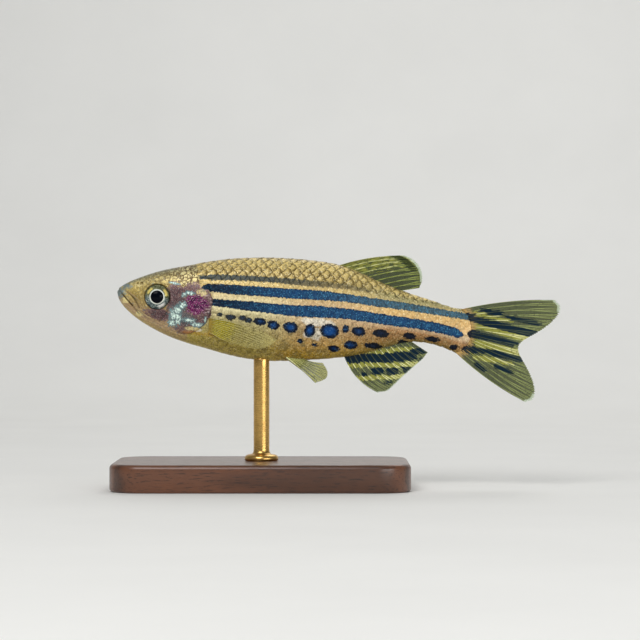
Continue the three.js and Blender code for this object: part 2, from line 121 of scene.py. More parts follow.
# Markings: each stripe has a centre line and half thicknesses, as (along, up) and (along, half) points
GREY_STRIPE = {
    "centre": ((7.2, 2.26), (8.5, 2.38), (10, 2.52), (12, 2.7), (14.5, 2.86), (17.5, 2.94), (20.5, 3.05),
               (23, 2.97), (26.6, 2.6)),
    "half": ((7.0, -0.1), (7.5, 0.19), (9, 0.26), (13, 0.28), (19, 0.29), (21, 0.25), (23, 0.16),
             (24.8, -0.1)),
}
UPPER_STRIPE = {
    "centre": ((7.9, 1.32), (8.6, 1.41), (10, 1.46), (13, 1.61), (16, 1.76), (19, 1.95), (21.3, 2.01),
               (24, 1.95), (27, 1.91), (30, 1.79), (33.4, 1.66)),
    "half": ((7.75, -0.15), (8.0, 0.2), (8.5, 0.38), (10, 0.43), (13, 0.46), (19, 0.46), (21, 0.39),
             (28, 0.35), (31, 0.32), (34, 0.3)),
}
LOWER_STRIPE = {
    "centre": ((8.6, 0.08), (10, 0.1), (12, 0.13), (14.5, 0.16), (16, 0.2), (18, 0.32), (20.5, 0.49),
               (22.2, 0.53), (25, 0.45), (28, 0.39), (30.7, 0.24), (32.9, -0.1)),
    "half": ((8.4, -0.2), (8.6, 0.2), (8.95, 0.36), (10.2, 0.36), (12, 0.43), (15, 0.49), (18, 0.56),
             (19.5, 0.56), (21, 0.5), (28, 0.47), (30, 0.46), (32.4, 0.44), (32.95, 0.12), (33.2, -0.3)),
}
SPOTS = (  # along, up, half length, half height
    (10.0, -0.98, 0.28, 0.14), (11.0, -1.1, 0.46, 0.25), (12.1, -1.04, 0.36, 0.24),
    (12.7, -1.2, 0.32, 0.22), (13.8, -1.17, 0.58, 0.33), (15.05, -1.36, 0.54, 0.42),
    (16.68, -1.36, 0.68, 0.5), (18.5, -1.44, 0.5, 0.62), (20.36, -1.26, 0.88, 0.66),
    (21.83, -0.92, 0.31, 0.39), (23.1, -0.97, 0.65, 0.43), (25.2, -0.9, 0.73, 0.37),
    (27.9, -0.83, 0.6, 0.3), (30.1, -0.84, 0.68, 0.24), (32.2, -1.35, 0.4, 0.24),
    (33.85, 0.08, 0.5, 0.38), (33.5, -1.36, 0.55, 0.24),
    (17.7, -2.55, 0.24, 0.24), (19.1, -2.72, 0.26, 0.13), (20.95, -2.87, 0.52, 0.3),
    (22.5, -2.34, 0.64, 0.41), (24.65, -2.16, 0.82, 0.27), (27.4, -1.55, 0.48, 0.3),
)

# Patches of colour, most of them on the head: along, up, half length, half height
PATCHES = {
    "magenta": ((7.6, -0.3, 1.0, 1.0), (8.1, -0.2, 0.7, 0.55)),
    "pearl": ((6.38, -0.56, 0.34, 0.34), (5.95, -1.05, 0.4, 0.42), (5.55, -1.6, 0.36, 0.5),
              (6.05, -1.85, 0.32, 0.55), (5.55, -2.35, 0.44, 0.3), (8.0, -2.2, 0.7, 0.24),
              (5.36, 1.42, 0.5, 0.1), (6.95, 0.68, 0.42, 0.17), (7.1, -1.85, 0.5, 0.2),
              (6.35, 0.45, 0.22, 0.2), (8.65, -1.7, 0.1, 0.3)),
    "mauve": ((5.45, 0.1, 0.8, 1.5), (4.3, -1.65, 1.5, 0.6), (6.2, 0.7, 1.2, 0.5),
              (8.7, -0.9, 1.0, 1.9), (7.0, -1.9, 1.8, 1.0), (6.3, -0.6, 0.9, 1.0)),
    "slate": ((0.15, -0.1, 0.75, 0.65), (0.8, 0.6, 0.55, 0.3), (6.9, -1.8, 0.9, 0.7),
              (5.9, -1.5, 0.9, 1.2)),
    "orange": ((7.6, -3.0, 1.2, 0.24), (9.2, -2.95, 0.6, 0.3), (17.7, -3.95, 1.9, 0.5)),
    "cream": ((8.0, 0.8, 0.5, 0.36), (7.6, -2.65, 0.8, 0.25), (1.95, 0.92, 0.35, 0.22),
              (2.3, -1.85, 0.32, 0.25), (0.85, -0.72, 0.34, 0.28),
              (19.1, -0.6, 1.7, 0.42), (18.9, -1.7, 0.9, 0.6)),
}
PATCH_SOFTNESS = {"slate": 0.9, "pearl": 0.8}

# Scales: reach and width are shares of the spacing along the body and between the rows
SCALES_FROM = 7.2
SCALE_AHEAD = 0.6  # of its root
SCALE_BEHIND = 0.72
SCALE_HALF_WIDTH = 1.06
SCALE_SHRINK = 0.28  # how much smaller the scales are by the tail
SCALE_MARGIN = 0.12  # kept free at the middle of back and belly
ARC_REACH = 9.0  # more than the longest arc from the widest level to the back or the belly
BAKE_PATCH = 0.003  # size of one scale on its map
SCALE_SEED = 7

# Fins: rays grow from a root line to a rim, whose corners are (along, up) or (along, up, out). The mesh is
# columns to a ray and rows from root to rim, the flesh an extra half thickness at the root and the share
# of the rays that it covers, and the comb how far the dark bands end unevenly
DORSAL = {
    "rays": 9, "root": (20.0, 26.1), "rim": ((26.7, 6.75), (28.45, 3.85)), "arch": 0.3,
    "rim_arch": 0.75, "side": 1, "round": (0.02, 0.05),
    "mesh": (22, 90), "flesh": (0.1, 0.12), "comb": 0.1,
}
ANAL = {
    "rays": 14, "root": (21.9, 27.8), "rim": ((26.1, -6.9), (30.05, -2.25)), "arch": 0.55,
    "rim_arch": -0.1, "side": -1, "round": (0.1, 0.07),
    "mesh": (20, 90), "flesh": (0.1, 0.12), "comb": 0.3,
}
TAIL = {
    "rays": 19, "hub": (33.3, 0.1), "droop": math.radians(7.5), "spread": math.radians(35),
    "lobes": (9.3, 8.9), "fork": 5.1, "arch": 0.3, "root_share": 0.985, "root_height": 0.97,
    "crowding": 0.85, "fork_width": 0.87, "rounding_from": 0.84, "rounding": 0.03,
    "mesh": (20, 112), "flesh": (0.34, 0.2), "comb": 0.9,
}
PECTORAL = {
    "rays": 11, "root": ((8.95, -1.45, 2.2), (9.1, -2.65, 1.9)),
    "rim": ((15.6, -2.65, 3.0), (13.6, -3.75, 2.7)), "arch": 0.3, "rim_arch": 0.3,
    "mesh": (16, 72), "flesh": (0.03, 0.1), "comb": 0.1,
}
PELVIC = {
    "rays": 7, "root": ((16.2, -4.1, 0.7), (17.2, -4.0, 0.3)),
    "rim": ((19.6, -6.3, 1.75), (20.1, -4.35, 0.8)), "arch": 0.15, "rim_arch": -0.85,
    "mesh": (16, 72), "flesh": (0.03, 0.1), "comb": 0.1,
}
FIN_SINK = 0.3  # how far a fin's root lies inside the skin
JOINT_LENGTH = 0.26  # of the segments of a ray
COMB_HASH = (12.9898, 43758.5453)

# Dark and gold bands on the fins: a line of (along, up) points and a half thickness
ANAL_BANDS = (
    (((22.0, -3.72), (25.4, -3.22), (28.5, -2.68)), 0.43),
    (((24.05, -4.95), (24.2, -4.9)), 0.22),
    (((25.15, -4.58), (25.55, -4.48)), 0.38),
    (((26.5, -4.4), (26.9, -4.3)), 0.38),
    (((27.9, -4.05), (28.2, -3.95)), 0.28),
    (((29.3, -3.0), (29.6, -2.85)), 0.24),
    (((28.5, -2.2), (29.4, -1.98)), 0.3),
    (((26.3, -5.55), (26.8, -5.35)), 0.14),
)
TAIL_BANDS = (
    (((33.2, 1.7), (34.9, 1.37), (36.3, 1.17), (38.3, 0.93), (39.9, 0.75)), 0.36),
    (((33.4, 0.1), (34.3, 0.08)), 0.42),
    (((34.3, 0.08), (36.5, -0.15), (38.0, -0.45)), 0.32),
    (((33.0, -1.34), (34.7, -1.32), (36.2, -1.43), (37.6, -1.63), (38.8, -1.78)), 0.26),
    (((34.4, -2.6), (35.25, -3.1)), 0.18),
    (((36.1, -2.58), (37.8, -2.95)), 0.18),
    (((34.4, 2.45), (36.6, 2.3)), 0.2),
    (((37.4, 2.1), (38.6, 1.95), (40.0, 1.85)), 0.24),
)
GOLD_BANDS = (
    (((33.9, 0.9), (36.4, 0.6), (39.4, 0.2)), 0.26),
    (((34.2, -0.66), (38.7, -1.12)), 0.3),
    (((33.8, 2.1), (37.4, 1.75)), 0.16),
    (((34.0, -1.9), (37.6, -2.25)), 0.2),
    (((22.4, -3.3), (25.4, -2.6), (28.2, -2.0)), 0.2),
    (((22.4, -4.3), (25.5, -3.9), (29.6, -3.3)), 0.22),
    (((23.7, -5.35), (26.1, -5.0), (28.6, -4.5)), 0.22),
)

# Stand and stage
ROD_SINK = 0.45  # how far the rod goes on past the solid's end into the belly
BASE_INSET = 8.0  # of the innermost ring of its two faces
VIEW_CENTRE = (19.15, 0, -2.7)  # from the snout
SENSOR_WIDTH = 36
BACKDROP = {"half": 0.9, "rear": 0.16, "bend": 0.14}  # metres
LIGHTS = (  # name, place from the view's centre in metres, size, share of the main light's strength
    ("key light", (-0.1, -0.26, 0.25), (0.2, 0.2), 1.0),
    ("fill light", (0.2, -0.26, 0.04), (0.24, 0.08), 0.42),
    ("rim light", (0.06, 0.2, 0.26), (0.2, 0.2), 0.4),
)
AIR_STRENGTH = 0.3


def linear(red, green, blue):
    """An sRGB colour, given from 0 to 255, as linear values from 0 to 1."""
    share = np.array((red, green, blue)) / 255
    low = share / 12.92
    high = ((share + 0.055) / 1.055) ** 2.4
    return tuple(float(v) for v in np.where(share <= 0.04045, low, high))


# Shapes as formulas


def smooth(value, start=0.0, end=1.0):
    """Rises from 0 at start to 1 at end, as 3t^2 - 2t^3."""
    t = np.clip((value - start) / (end - start), 0, 1)
    return t * t * (3 - 2 * t)


def between(start, end, share):
    """From start at a share of 0 to end at 1."""
    return start + (end - start) * share


def full_turn(count, start=0.0):
    """Angles evenly round a circle, the first at a share of one step."""
    return (np.arange(count) + start) * (2 * math.pi / count)


def bell(distance, width):
    """1 at no distance, falling as exp(-(distance / width)^2)."""
    return np.exp(-(distance / width) ** 2)


def spline(knots, values):
    """A natural cubic spline: cubics that meet with equal slopes and bends, with no bend at the ends."""
    x = np.asarray(knots, float)
    y = np.asarray(values, float)
    steps = np.diff(x)
    slopes = np.diff(y) / steps
    system = np.eye(len(x))
    wanted = np.zeros(len(x))
    inner = np.arange(1, len(x) - 1)
    system[inner, inner - 1] = steps[:-1]
    system[inner, inner] = 2 * (steps[:-1] + steps[1:])
    system[inner, inner + 1] = steps[1:]
    wanted[inner] = 6 * np.diff(slopes)
    bends = np.linalg.solve(system, wanted)

    def curve(at):
        at = np.asarray(at, float)
        i = np.clip(np.searchsorted(x, at) - 1, 0, len(x) - 2)
        width = x[i + 1] - x[i]
        a = (x[i + 1] - at) / width
        b = 1 - a
        bent = ((a ** 3 - a) * bends[i] + (b ** 3 - b) * bends[i + 1]) * width ** 2 / 6
        return a * y[i] + b * y[i + 1] + bent

    return curve


def path_distance(along, up, path):
    """The least distance from each point to the straight stretches of a path."""
    best = np.full(np.shape(along), np.inf)
    for (x0, y0), (x1, y1) in zip(path[:-1], path[1:]):
        dx, dy = x1 - x0, y1 - y0
        share = np.clip(((along - x0) * dx + (up - y0) * dy) / (dx * dx + dy * dy), 0, 1)
        best = np.minimum(best, np.hypot(along - x0 - share * dx, up - y0 - share * dy))
    return best


def oval(along, up, centre, half):
    """The radius of each point measured in the half axes of an oval: 1 on the oval itself."""
    return np.hypot((along - centre[0]) / half[0], (up - centre[1]) / half[1])


# The outline is splined over the square root of the distance along, which rounds the nose
OUTLINE = [spline(np.sqrt(STATIONS[:, 0] / BODY_LENGTH), STATIONS[:, column]) for column in (1, 2, 3)]


def outline(along, which):
    """The back (0), belly (1) or half width (2) at each distance along."""
    return OUTLINE[which](np.sqrt(np.clip(along, 0, BODY_LENGTH) / BODY_LENGTH))


def body_point(along, turn, grow=0.0):
    """The skin as a pair of half superellipses: out is half * |cos turn|^(2/p), and up is reach *
    |sin turn|^(2/p) from the widest level. Past the stalk both shrink by a quarter circle. A turn of 0 is
    the right side, a quarter turn the back, and grow moves the skin outwards."""
    along = np.asarray(along, float)
    back, belly, half = (outline(along, which) for which in range(3))
    level = between(belly, back, WIDEST_LEVEL)
    beyond = np.clip(along - STALK_FROM, 0, None) / (STALK_TO - STALK_FROM)
    kept = np.sqrt(np.clip(1 - beyond ** 2, 0, None))
    turned = smooth(along, 0, TRUNK_FROM)
    powers = [between(head, trunk, turned) for head, trunk in zip(HEAD_POWERS, TRUNK_POWERS)]
    rise, side = np.sin(turn), np.cos(turn)
    share = 2 / np.where(rise > 0, powers[0], powers[1])
    reach = np.where(rise > 0, back - level, level - belly) * kept + grow
    up = level * kept + np.sign(rise) * np.abs(rise) ** share * reach
    out = np.sign(side) * np.abs(side) ** share * (half * np.sqrt(kept) + grow)
    return np.stack(np.broadcast_arrays(along, out, up), -1)


def skin_out(along, up):
    """How far out the skin lies at a place in side view."""
    turns = np.linspace(-math.pi / 2, math.pi / 2, 181)
    sections = body_point(np.full(turns.shape, float(along)), turns)
    return float(np.interp(up, sections[:, 2], sections[:, 1]))


def stand_top():
    """The height of the base's top."""
    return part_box("stand_base")[1][2] / MM


def place_fish(points):
    """Points of the fish's frame in metres on the stand: turned by the pitch about the sideways axis, and
    moved so that the belly over the rod is at the swimming height."""
    cosine, sine = math.cos(PITCH), math.sin(PITCH)
    belly = float(outline(ROD_ALONG, 1))
    shift_x = -(ROD_ALONG * cosine + belly * sine)
    shift_z = stand_top() + SWIM_HEIGHT + ROD_ALONG * sine - belly * cosine
    along, out, up = np.moveaxis(np.asarray(points, float), -1, 0)
    x = along * cosine + up * sine + shift_x
    z = -along * sine + up * cosine + shift_z
    return np.stack((x, out, z), -1) * MM


# Meshes from arrays


def grid_faces(rows, columns, start=0, closed=False):
    """The four corners of each face of a grid of points, row by row, closing round if asked."""
    across = np.arange(columns if closed else columns - 1)
    row = np.arange(rows - 1)[:, None] * columns
    after = (across + 1) % columns
    corners = (row + across, row + after, row + columns + after, row + columns + across)
    return start + np.stack(corners, -1).reshape(-1, 4)


def capped_grid(grid, poles, start=0):
    """Points, quads and triangles of a grid that closes round, with a fan at its first and its last row
    round two more points."""
    rows, columns = grid.shape[:2]
    points = np.concatenate((grid.reshape(-1, 3), poles))
    ring = np.arange(columns)
    after = (ring + 1) % columns
    last = (rows - 1) * columns
    pole = np.full(columns, rows * columns)
    front = np.stack((after, ring, pole), -1)
    rear = np.stack((last + ring, last + after, pole + 1), -1)
    return points, grid_faces(rows, columns, start, closed=True), start + np.concatenate((front, rear))


def signed_volume(points, quads, triangles):
    """Six times the volume inside closed faces, negative if they point inwards."""
    halves = [triangles, quads[:, [0, 1, 2]], quads[:, [0, 2, 3]]]
    a, b, c = np.moveaxis(points[np.concatenate(halves)], 1, 0)
    return float(np.einsum("ij,ij->", a, np.cross(b, c)))


def add_object(name, data):
    """An object in the scene that shows a mesh, light or camera."""
    thing = bpy.data.objects.new(name, data)
    bpy.context.scene.collection.objects.link(thing)
    return thing


def make_piece(name, points, quads, triangles=(), attributes=None, uv=None):
    """A piece in metres whose closed faces point outwards, with smooth shading and point attributes."""
    quads = np.asarray(quads, int).reshape(-1, 4)
    triangles = np.asarray(triangles, int).reshape(-1, 3)
    if signed_volume(points, quads, triangles) < 0:
        quads, triangles = quads[:, ::-1], triangles[:, ::-1]
    corners = np.concatenate((quads.ravel(), triangles.ravel())).astype(np.int32)
    sizes = np.concatenate((np.full(len(quads), 4), np.full(len(triangles), 3)))
    starts = np.concatenate(((0,), np.cumsum(sizes)[:-1])).astype(np.int32)
    mesh = bpy.data.meshes.new(name)
    mesh.vertices.add(len(points))
    mesh.vertices.foreach_set("co", points.astype(np.float32).ravel())
    mesh.loops.add(len(corners))
    mesh.loops.foreach_set("vertex_index", corners)
    mesh.polygons.add(len(sizes))
    mesh.polygons.foreach_set("loop_start", starts)
    mesh.update(calc_edges=True)
    mesh.shade_smooth()
    for key, values in (attributes or {}).items():
        attribute = mesh.attributes.new(key, "FLOAT_VECTOR", "POINT")
        attribute.data.foreach_set("vector", values.astype(np.float32).ravel())
    if uv is not None:
        layer = mesh.uv_layers.new(name="OFBake")
        layer.data.foreach_set("uv", uv[corners].astype(np.float32).ravel())
    return add_object(name, mesh)


def finish_piece(piece, material, slot, *nodes):
    """Gives a piece its material, its place on the body and the solids that it stands for."""
    piece.data.materials.append(material)
    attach(piece, "root")
    if nodes:
        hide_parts(*nodes)


# Markings, the same on skin and scales


def stripe_depth(along, up, stripe):
    """How deep each point lies inside a stripe, its half thickness less the distance to its centre, and
    the height of that centre."""
    centre_along, centre_up = zip(*stripe["centre"])
    half_along, half = zip(*stripe["half"])
    centre = spline(centre_along, centre_up)(np.clip(along, centre_along[0], centre_along[-1]))
    return np.interp(along, half_along, half) - np.abs(up - centre), centre


def painted_crease_shade(along, up):
    """How far each point lies in a crease of the head, where painted shade darkens the skin."""
    weight = bell(path_distance(along, up, (MOUTH_FRONT, MOUTH_CORNER)), 0.07)
    weight = weight * (0.3 + 0.7 * smooth(along, 0.15, 0.9))
    for strength, path, width in CREASES:
        weight = np.maximum(weight, strength * bell(path_distance(along, up, path), width))
    rear = bell(cover_distance(along, up) - 0.09, 0.08) * smooth(along, COVER_AT[0], COVER_AT[0] + 0.8)
    weight = np.maximum(weight, 0.22 * rear)
    eye = np.hypot(along - EYE_AT[0], up - EYE_AT[1])
    weight = np.maximum(weight, 0.5 * bell(eye - EYE_RADIUS - 0.02, 0.07))
    for x, y, radius in NOSTRILS:
        pit = 1 - smooth(np.hypot(along - x, up - y), radius * 0.4, radius)
        weight = np.maximum(weight, 0.65 * pit)
    return weight


def patch_weight(along, up, patches, softness):
    """The strongest of several soft ovals: 1 well inside one and 0 outside them all."""
    weight = np.zeros(np.shape(along))
    for x, y, half_along, half_up in patches:
        radius = oval(along, up, (x, y), (half_along, half_up))
        weight = np.maximum(weight, 1 - smooth(radius, 1 - softness, 1 + softness))
    return weight


def markings(points):
    """Point attributes that hold the livery: where a point is, how deep it lies in each mark, and the
    weights of the patches. Level runs from 0 at the belly to 1 at the back, with the lower stripe
    at a half, the upper one at two thirds and the grey one at five sixths."""
    along, _, up = np.moveaxis(points, -1, 0)
    back, belly = outline(along, 0), outline(along, 1)
    grey_depth, grey = stripe_depth(along, up, GREY_STRIPE)
    upper_depth, upper = stripe_depth(along, up, UPPER_STRIPE)
    lower_depth, lower = stripe_depth(along, up, LOWER_STRIPE)
    marks = (belly, lower - 0.75, lower, upper, grey, np.maximum(back, grey + 0.3))
    levels = (0, 1 / 3, 1 / 2, 2 / 3, 5 / 6, 1)
    level = np.zeros(along.shape)
    for i in range(len(marks) - 1):
        share = np.clip((up - marks[i]) / (marks[i + 1] - marks[i]), 0, 1)
        level += share * (levels[i + 1] - levels[i])
    stripes = np.maximum(upper_depth, lower_depth)
    spots = np.full(along.shape, -1.0)
    for x, y, half_along, half_up in SPOTS:
        radius = oval(along, up, (x, y), (half_along, half_up))
        spots = np.maximum(spots, (1 - radius) * min(half_along, half_up))
    rear_edge = cover_distance(along, up)
    beyond = 0.1 + 0.45 * bell(up + 1.5, 1.0)
    head = np.maximum(1 - smooth(along, 5.6, 8.2), 1 - smooth(rear_edge / beyond, -0.3, 1.0))
    nape = 1 - smooth(along - 0.35 * (3.4 - up), 6.6, 7.6)
    head = np.maximum(np.where(up > 1.2, nape, 0), np.where(up > 1.2, 0, head))
    head_level = np.clip((up - belly) / np.maximum(back - belly, 0.01), 0, 1)
    weights = {name: patch_weight(along, up, ovals, PATCH_SOFTNESS.get(name, 0.6))
               for name, ovals in PATCHES.items()}
    inside = (1 - smooth(rear_edge, -0.25, 0.5)) * smooth(along, 5.0, 5.6)
    weights["mauve"] = np.maximum(weights["mauve"], 0.8 * inside)
    return {
        "place": np.stack((level, along / BODY_LENGTH, head), -1),
        "marks": np.stack((stripes, grey_depth, spots), -1),
        "face": np.stack((head_level, weights["slate"], weights["cream"]), -1),
        "cheek": np.stack((weights["magenta"], weights["pearl"], weights["mauve"]), -1),
        # The second of the belly values is the painted shade of the creases
        "belly": np.stack((weights["orange"], painted_crease_shade(along, up), head_level), -1),
    }


# Skin


def cover_distance(along, up):
    """About how far each point lies outside the gill cover's oval, negative inside."""
    da, db = along - COVER_AT[0], up - COVER_AT[1]
    length = da * math.cos(COVER_LEAN) - db * math.sin(COVER_LEAN)
    height = da * math.sin(COVER_LEAN) + db * math.cos(COVER_LEAN)
    radius = np.hypot(length / COVER_HALF[0], height / COVER_HALF[1])
    return (radius - 1) * (COVER_HALF[0] + COVER_HALF[1]) / 2


def mouth_relief(along, up):
    """A crease along the line of the mouth between two rolled lips, fading past its corner, with the folds
    of the upper and lower jaw behind it and a knob where the jaws meet."""
    dx, dy = MOUTH_CORNER[0] - MOUTH_FRONT[0], MOUTH_CORNER[1] - MOUTH_FRONT[1]
    length = math.hypot(dx, dy)
    across = ((up - MOUTH_FRONT[1]) * dx - (along - MOUTH_FRONT[0]) * dy) / length
    down = ((along - MOUTH_FRONT[0]) * dx + (up - MOUTH_FRONT[1]) * dy) / length
    kept = 1 - smooth(down, length - 0.12, length + 0.12)
    lips = 0.045 * bell(np.abs(across) - 0.18, 0.13) * (1 - smooth(down, length - 0.25, length + 0.1))
    crease = -0.2 * bell(across, 0.055) * kept * (0.12 + 0.88 * smooth(down, 0.95, 1.6))
    folds = -0.07 * bell(path_distance(along, up, UPPER_JAW_FOLD), 0.06)
    folds += -0.08 * bell(path_distance(along, up, LOWER_JAW_FOLD), 0.06)
    ridge = 0.03 * bell(path_distance(along + 0.2, up + 0.14, UPPER_JAW_FOLD), 0.12)
    knob = 0.05 * bell(np.hypot(along - JAW_KNOB[0], up - JAW_KNOB[1]), 0.2)
    return lips + crease + folds + ridge + knob


def eye_relief(along, up):
    """A hollow that the eyeball fills, with a low rim round it."""
    radius = np.hypot(along - EYE_AT[0], up - EYE_AT[1])
    hollow = -0.5 * (1 - smooth(radius, EYE_RADIUS - 0.13, EYE_RADIUS + 0.06))
    rim = 0.06 * bell(radius - EYE_RADIUS - 0.16, 0.12)
    groove = -0.025 * bell(radius - EYE_RADIUS - 0.62, 0.07) * smooth(EYE_AT[1] - up, -0.2, 0.5)
    return hollow + rim + groove


def nostril_relief(along, up):
    """Two pits, each with a thin raised rim."""
    relief = np.zeros(along.shape)
    for x, y, radius in NOSTRILS:
        away = np.hypot(along - x, up - y)
        relief += -0.2 * (1 - smooth(away, radius * 0.45, radius)) + 0.05 * bell(away - radius * 1.2, 0.05)
    return relief


def gill_relief(along, up, belly):
    """The cover's plate, proud along its rear and lower edge with a slit behind, the cheek's edge in front
    of it, faint rays and a crease on the plate, and the folds of the throat."""
    distance = cover_distance(along, up)
    rearward = smooth(along + 0.35 * (COVER_AT[1] - up), COVER_AT[0] - 1.0, COVER_AT[0] + 0.3)
    plate = COVER_PROUD * (1 - smooth(distance, -0.06, 0.05)) * rearward
    slit = -0.11 * bell(distance - 0.1, 0.07) * rearward
    cheek = path_distance(along, up, CHEEK_EDGE)
    edge = -0.06 * bell(cheek, 0.07) + 0.035 * bell(cheek - 0.18, 0.1)
    angle = np.arctan2(up - COVER_RAYS_FROM[1], along - COVER_RAYS_FROM[0])
    rays = 0.012 * np.sin(angle * 34) * (1 - smooth(distance, -0.5, 0)) * rearward
    under = -0.035 * bell(path_distance(along, up, COVER_CREASE), 0.06)
    throat = smooth(along, 2.6, 3.4) * (1 - smooth(along, 6.8, 7.8))
    folds = sum(-0.035 * bell(up - belly - height, 0.05) for height in THROAT_FOLDS) * throat
    return plate + slit + edge + rays + under + folds


def scaled_share(along, up):
    """1 where the body carries scales and 0 on the bare head."""
    start = 9.35 - 2.3 * smooth(up, 1.2, 3.4)
    return smooth(along, start - 0.1, start + 0.25)


def skin_rows():
    """Distances along that crowd at the mouth, stay close over the head and spread over the trunk."""
    nose = np.linspace(0.02, math.sqrt(0.55), 50)[:-1] ** 2
    mouth = np.linspace(0.55, 2.6, 74)[:-1]
    head = np.linspace(2.6, 9.9, 132)[:-1]
    trunk = np.linspace(9.9, STALK_FROM, 68)[:-1]
    end = STALK_FROM + (STALK_TO - STALK_FROM) * np.sin(np.linspace(0, math.pi / 2, 13)[:-1])
    return np.concatenate((nose, mouth, head, trunk, end))


def lift_grid(points, relief):
    """Moves a closed grid of points along its normals, which are the cross products of its steps."""
    down = np.gradient(points, axis=0)
    round_ = np.roll(points, -1, axis=1) - np.roll(points, 1, axis=1)
    normals = np.cross(down, round_)
    normals /= np.maximum(np.linalg.norm(normals, axis=-1, keepdims=True), 1e-9)
    middle = points.mean(axis=1, keepdims=True)
    outwards = np.sign(np.sum(normals * (points - middle), axis=(-1, -2), keepdims=True))
    return points + normals * outwards * relief[..., None]


def build_skin(sizes):
    """One closed surface from snout to tail root: the body's sections moved along their normals by the
    head's relief and faint waves, and sunk under the scales."""
    along = skin_rows()[:, None]
    points = body_point(along, full_turn(sizes.skin_columns, 0.5)[None, :])
    at, out, up = np.moveaxis(points, -1, 0)
    sideways = smooth(np.abs(out), 0.35, 0.8)
    relief = mouth_relief(at, up)
    relief += eye_relief(at, up) * sideways
    relief += nostril_relief(at, up) * sideways
    relief += gill_relief(at, up, outline(at, 1)) * smooth(np.abs(out), 0.2, 0.7)
    scaled = scaled_share(at, up)
    relief += 0.006 * np.sin(at * 9 + up * 4) * np.sin(up * 11 - at * 3) * (1 - scaled)
    relief -= sizes.scale_bed / MM * scaled
    points = lift_grid(points, relief)
    nose = points[0].mean(axis=0) * (0, 0, 1) + (-0.005, 0, 0)
    flat, quads, caps = capped_grid(points, (nose, (STALK_TO, 0.0, 0.0)))
    attributes = markings(flat)
    attributes["scale"] = np.zeros(flat.shape)
    return make_piece("skin", place_fish(flat), quads, caps, attributes)


# Scales


def arc_table():
    """For each distance along, the turn reached at each arc length up from the widest level: the arc is
    summed along the section, and then read the other way round."""
    along = np.linspace(6.0, STALK_TO - 0.05, 90)
    turns = np.linspace(-math.pi / 2, math.pi / 2, 241)
    sections = body_point(along[:, None], turns[None, :])
    steps = np.linalg.norm(np.diff(sections, axis=1), axis=-1)
    arcs = np.concatenate((np.zeros((len(along), 1)), np.cumsum(steps, axis=1)), axis=1)
    arcs -= arcs[:, [len(turns) // 2]]
    wanted = np.linspace(-ARC_REACH, ARC_REACH, 361)
    table = np.stack([np.interp(wanted, arcs[row], turns) for row in range(len(along))])
    return along, wanted, table, arcs[:, 0], arcs[:, -1]


def turn_at(table, along, arc):
    """The turn at each distance along and arc length, between the four nearest entries of the table."""
    rows, columns, turns = table[:3]
    x = np.clip((along - rows[0]) / (rows[1] - rows[0]), 0, len(rows) - 1.001)
    y = np.clip((arc - columns[0]) / (columns[1] - columns[0]), 0, len(columns) - 1.001)
    i, j = x.astype(int), y.astype(int)
    a, b = x - i, y - j
    lower = turns[i, j] * (1 - b) + turns[i, j + 1] * b
    upper = turns[i + 1, j] * (1 - b) + turns[i + 1, j + 1] * b
    return lower * (1 - a) + upper * a


def scale_lattice(table, pitch, row_pitch):
    """Roots of the scales on one flank: rows follow the body at even arc lengths, drawn a little closer
    together towards the tail, and every other row is set back by half a step. More are laid out than the
    flank holds, and those off it or on the bare head are dropped."""
    rows = np.arange(-14, 15)
    steps = np.arange(0, 36)
    row, step = (a.ravel() for a in np.meshgrid(rows, steps, indexing="ij"))
    along = SCALES_FROM + (step + 0.5 * (row % 2)) * pitch
    shrink = 1 - SCALE_SHRINK * smooth(along, 18, 33)
    arc = row * row_pitch * shrink
    lowest = np.interp(along, table[0], table[3])
    highest = np.interp(along, table[0], table[4])
    inside = (arc > lowest + SCALE_MARGIN) & (arc < highest - SCALE_MARGIN) & (along < STALK_TO - 0.95)
    along, arc, shrink = along[inside], arc[inside], shrink[inside]
    up = body_point(along, turn_at(table, along, arc))[:, 2]
    scaled = scaled_share(along + 0.25, up) > 0.5
    return along[scaled], arc[scaled], shrink[scaled]


